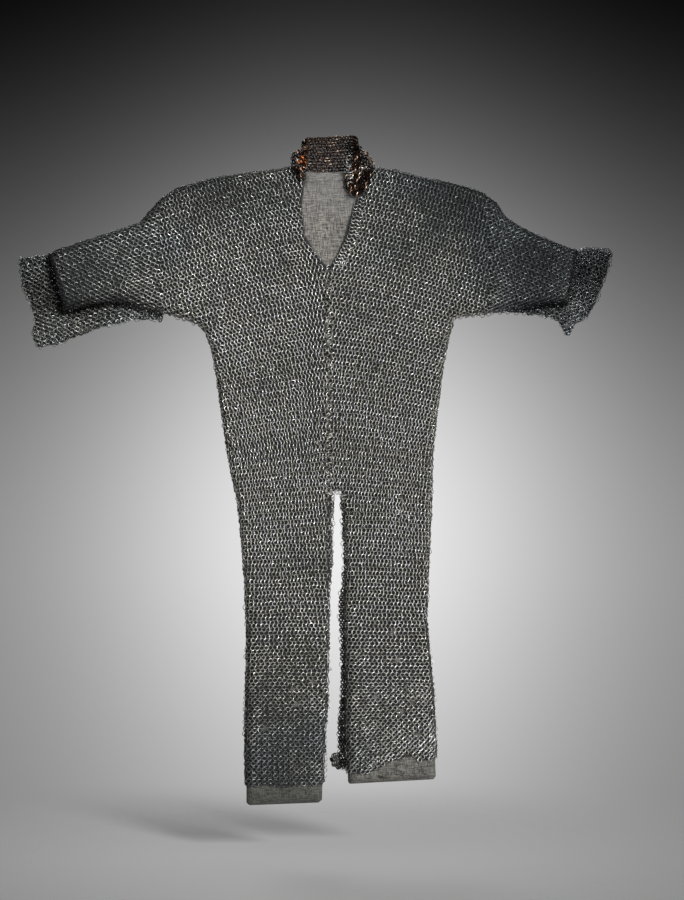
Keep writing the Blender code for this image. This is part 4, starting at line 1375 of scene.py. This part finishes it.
def lappetEdgeRings(laid, front):
    # larger, brighter rings down the inner edge of the lappet
    random = np.random.default_rng(lappetEdge["seed"])
    start, end = np.array(lappetEdge["from"]), np.array(lappetEdge["to"])
    count = int(math.dist(start, end) / lappetEdge["step"])
    share = np.linspace(0, 1, count)[:, None]
    plan = start * (1 - share) + end * share + random.normal(0, lappetEdge["shake"], (count, 2))
    rows3, normal = alike(count, (0.2, 0, -1)), alike(count, (0, -1, 0))
    lean = random.uniform(-lappetEdge["lean"], lappetEdge["lean"], count)
    place = inSpace(plan, front + lappetEdge["inset"])
    laid.add(place, rows3, normal, lean, lappetEdge["radius"], "left_collar_lappet")


copper = mailMetal(
    "collarCopper",
    {
        "crustScale": 420, "crustLevel": 0.50, "crustColour": (0.34, 0.20, 0.13, 1), "crustDullness": 0.45,
        "grainScale": 2200, "metal": 0.8, "roughness": 0.38, "gloss": 0.1,
    },
)
leather = thongLeather()
fineRing = ringShape(around=12, section=4, wireShare=collar["wire"] / collar["radius"])
collarRings()
for number in range(1, collar["rows"] + 1):
    collarThong(number)
for name, look in looseEnds.items():
    looseEnd(name, look)
print("collar made")


# Padded form under its linen cover

padding = {
    "voxel": 0.006,
    "pressure": 4.0,
    "frames": 20,
    "cap": 0.0010,  # the farthest that the stuffing may push a point
    "grow": 0.0014,  # from the padding's shape to the outside of the linen
    "underMail": 0.0010,  # how far the sides bulge into the mail
    "edge": 0.008,  # width of the strip beside the outline that is drawn out to it
    "rim": 0.004,  # how deep the front reaches
    "wrapStop": 0.0018,  # from the form's back to the cloth round the board, before it grows
    "backFade": (0.0010, 0.002),  # from behind the form's back to where the drawing out is full
    "mailGap": (0.0030, 0.002),  # cloth this near to mail lies under it and gets painted shade, and over what more it fades
    "held": 0.008,  # depth of the strip at the back that the board holds
}


def formSection(name):
    # the padding swells its cover, which is held round the board at the back
    build = welded(name + "_padding")
    back = max(vertex.co.y for vertex in build.verts)
    for vertex in build.verts:
        if vertex.co.y > back - 0.0002:
            vertex.co.y = formBack - padding["wrapStop"]
    piece = putIn(name + "_form", meshFrom(build, name + "_form"))
    remesh = piece.modifiers.new("remesh", "REMESH")
    remesh.mode = "VOXEL"
    remesh.voxel_size = padding["voxel"]
    keepResult(piece)
    swollen(piece)
    piece.modifiers.new("smooth", "SMOOTH").iterations = 2
    finer = piece.modifiers.new("finer", "SUBSURF")
    finer.levels = finer.render_levels = 1
    keepResult(piece)
    seat(piece.data, shortened(flatEdges([name + "_linen_cover"], formBack), edgeStep))
    piece.data.shade_smooth()
    piece.data.materials.clear()
    piece.data.materials.append(linen)
    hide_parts(name + "_linen_cover", name + "_padding")
    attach(piece, suitBody)
    print(piece.name, len(piece.data.polygons), "faces")


def keepResult(piece):
    # puts what the modifiers make in place of the mesh
    bpy.context.view_layer.update()
    made = bpy.data.meshes.new_from_object(piece.evaluated_get(bpy.context.evaluated_depsgraph_get()))
    piece.modifiers.clear()
    made.name = piece.name
    piece.data = made


def swollen(piece):
    scene = bpy.context.scene
    start, normals = vectorsOf(piece.data, "co"), vectorsOf(piece.data, "normal")
    held = piece.vertex_groups.new(name="held")
    held.add(np.flatnonzero(start[:, 1] > formBack - padding["held"]).tolist(), 1.0, "REPLACE")
    cloth = piece.modifiers.new("cloth", "CLOTH")
    cloth.settings.quality = 3
    cloth.settings.vertex_group_mass = "held"
    cloth.settings.use_pressure = True
    cloth.settings.uniform_pressure_force = padding["pressure"]
    cloth.settings.effector_weights.gravity = 0
    for step in range(1, padding["frames"] + 1):
        scene.frame_set(step)
    keepResult(piece)
    scene.frame_set(1)
    swell = ((vectorsOf(piece.data, "co") - start) * normals).sum(1)[:, None]
    moved = normals * np.clip(swell, 0, padding["cap"])
    piece.data.vertices.foreach_set("co", (start + moved).ravel())
    print(piece.name, "swelled by up to", round(float(swell.max()) * 1000, 2), "mm before the cap")


def seat(mesh, edges):
    # draws the cloth out to its outline, marks where mail lies over it for the painted shade under the mail,
    # and lets the covered sides bulge
    points = vectorsOf(mesh, "co") + vectorsOf(mesh, "normal") * padding["grow"]
    plan = points[:, [0, 2]]
    distance, _, foot = nearestEdge(plan, edges)
    drawn = np.clip(2 - 2 * distance / padding["edge"], 0, 1)
    drawn *= rising(points[:, 1], formFront + padding["rim"], padding["edge"])
    past, fade = padding["backFade"]
    drawn *= rising(-points[:, 1], -formBack - past, fade)
    points[:, [0, 2]] += (foot - plan) * drawn[:, None]
    gaps = np.array([allMail.find_nearest(Vector(point))[3] for point in points])
    front = points[:, 1] < formFront + padding["rim"]
    under = 1 - rising(gaps, *padding["mailGap"])
    under = np.where(np.isnan(seenFromFront(frontSolid, points[:, [0, 2]])), under, 1)
    # painted shade under the mail, left off where a tear opens the front
    mark = under * (1 - nearTear(points[:, [0, 2]]) * front)
    grime = rising(-points[:, 2], 0.9, 0.1) * np.where(points[:, 0] < 0.01, 1.0, 0.55)
    outwards = vectorsOf(mesh, "normal") * np.array([1, 0, 1], np.float32)
    points += outwards * (under * padding["underMail"])[:, None]
    points[:, 1] = np.minimum(points[:, 1], formBack)
    mesh.vertices.foreach_set("co", points.ravel())
    for name, share in (("underMail", mark), ("grime", grime)):
        mesh.attributes.new(name, "FLOAT", "POINT").data.foreach_set("value", share.astype(np.float32))


linen = linenCloth()
for name in sections:
    formSection(name)
print("padded form made")


# Boards, dowels, cleat and screws keep their CAD shapes

def giveFinish(name, material):
    node = nodes[name]
    node.data.materials.clear()
    node.data.materials.append(material)


plywood = sawnWood(
    "birchPlywood",
    {
        "stretch": (0.08, 1.0, 1.0), "grainScale": 60.0,
        "late": (0.36, 0.23, 0.12, 1), "early": (0.62, 0.45, 0.27, 1), "stain": (0.48, 0.33, 0.19, 1),
    },
)
beech = sawnWood(
    "turnedBeech",
    {
        "stretch": (0.15, 1.0, 0.4), "grainScale": 160.0,
        "late": (0.38, 0.21, 0.12, 1), "early": (0.62, 0.40, 0.24, 1), "stain": (0.50, 0.30, 0.18, 1),
    },
)
zinc = zincPlate()
for name in nodes:
    if name.endswith("_board") or name == "hanging_cleat":
        giveFinish(name, plywood)
    elif "_dowel_" in name:
        giveFinish(name, beech)
    elif name.startswith("cleat_screw"):
        giveFinish(name, zinc)
print("wood and zinc finished")


# Stage, light and camera

def makeStage():
    # a pale floor with a painted pool of light, lighter near the suit, which fades into the backdrop away
    # from the suit
    look = {
        "height": -1.30,
        "size": 6.0,
        # painted pool of light: lighter near the suit, darker farther off
        "near": (0.24, 0.24, 0.24, 1),
        "far": (0.18, 0.18, 0.18, 1),
        "farther": 0.45,  # middle of the step from near to far, and half its width
        "fadeStart": 0.10,
        "fadeEnd": 1.3,
    }
    build = bmesh.new()
    bmesh.ops.create_grid(build, x_segments=1, y_segments=1, size=look["size"])
    bmesh.ops.translate(build, verts=build.verts, vec=(0, 0, look["height"]))
    mesh = meshFrom(build, "floor")
    floor = putIn("floor", mesh)
    finish = Finish("paleFloor")
    place = finish.objectPlace((1, 1, 0))
    away = finish.number("ShaderNodeVectorMath", "Value", {"operation": "LENGTH"}, {0: place})
    middle = (look["fadeStart"] + look["fadeEnd"]) / 2
    faded = away.above(middle, look["fadeEnd"] - middle)
    farther = away.above(look["farther"], look["farther"])
    finish.set(Base_Color=finish.mixed(farther, look["near"], look["far"]), Roughness=0.9)
    clear = finish.add("ShaderNodeBsdfTransparent", {}, {}).outputs[0]
    seen = finish.number("ShaderNodeLightPath", "Is Camera Ray", {}, {})
    mix = finish.add("ShaderNodeMixShader", {}, {0: faded * seen, 1: finish.shader.outputs[0], 2: clear})
    finish.feed(finish.tree.nodes["Material Output"].inputs["Surface"], mix.outputs[0])
    mesh.materials.append(finish.material)


def makeWorld():
    # a dark backdrop with a painted pool of light low behind the suit, and soft light, most of it from above
    look = {
        "low": 0.50,
        "high": 0.0,
        "rise": (-0.064, 0.249),
        "pool": 0.455,
        "poolPlace": -0.008,
        "poolReach": (0.115, 0.17),
        "dimLight": (0.13, 0.13, 0.135, 1),
        "softLight": (0.78, 0.78, 0.78, 1),
        "lightFrom": (0.50, -0.62, 0.60),
    }
    world = bpy.data.worlds.new("studio")
    bpy.context.scene.world = world
    world.use_nodes = True
    sky = NodeSet(world.node_tree)
    sky.tree.nodes.clear()
    towards = sky.add("ShaderNodeTexCoord", {}, {}).outputs["Generated"]
    across = sky.number("ShaderNodeSeparateXYZ", "X", {}, {0: towards})
    rise = sky.number("ShaderNodeSeparateXYZ", "Z", {}, {0: towards})
    low, high = look["rise"]
    dark = rise.above((low + high) / 2, (high - low) / 2)
    wide, tall = look["poolReach"]
    upward = rise - look["poolPlace"]
    outwards = across * across * (1 / wide ** 2) + upward * upward * (1 / tall ** 2)
    pool = math.e ** (outwards * -1) * look["pool"]
    level = dark * (look["high"] - look["low"]) + look["low"] + pool
    shown = level ** 2.2
    facing = {0: towards, 1: look["lightFrom"]}
    side = sky.number("ShaderNodeVectorMath", "Value", {"operation": "DOT_PRODUCT"}, facing)
    light = sky.mixed(side.above(0.1, 1.0), look["dimLight"], look["softLight"])
    seen = sky.number("ShaderNodeLightPath", "Is Camera Ray", {}, {})
    for ray in ("Is Glossy Ray", "Is Transmission Ray"):
        seen = seen.orElse(sky.number("ShaderNodeLightPath", ray, {}, {}))
    background = sky.add("ShaderNodeBackground", {}, {"Color": sky.mixed(seen, light, shown)})
    sky.add("ShaderNodeOutputWorld", {}, {"Surface": background.outputs[0]})


def addSun(name, towards, strength, spread):
    light = bpy.data.lights.new(name, "SUN")
    light.energy = strength
    light.angle = math.radians(spread)
    putIn(name, light).rotation_euler = Vector(towards).to_track_quat("-Z", "Y").to_euler()


def makeCamera():
    look = {"across": 0.0252, "height": -0.441, "distance": 5.0, "view": 1.890, "sensor": 36.0}
    data = bpy.data.cameras.new("camera")
    data.sensor_width = look["sensor"]
    data.lens = look["sensor"] * (look["distance"] + formFront) / look["view"]
    camera = putIn("camera", data)
    camera.location = (look["across"], -look["distance"], look["height"])
    camera.rotation_euler = (math.pi / 2, 0, 0)
    bpy.context.scene.camera = camera


makeStage()
makeWorld()
addSun("key", (-0.62, 1.0, -0.48), 5.8, 12)
addSun("rear", (0.3, -1.0, -0.4), 1.6, 30)
makeCamera()
bpy.context.scene.view_settings.view_transform = "Standard"
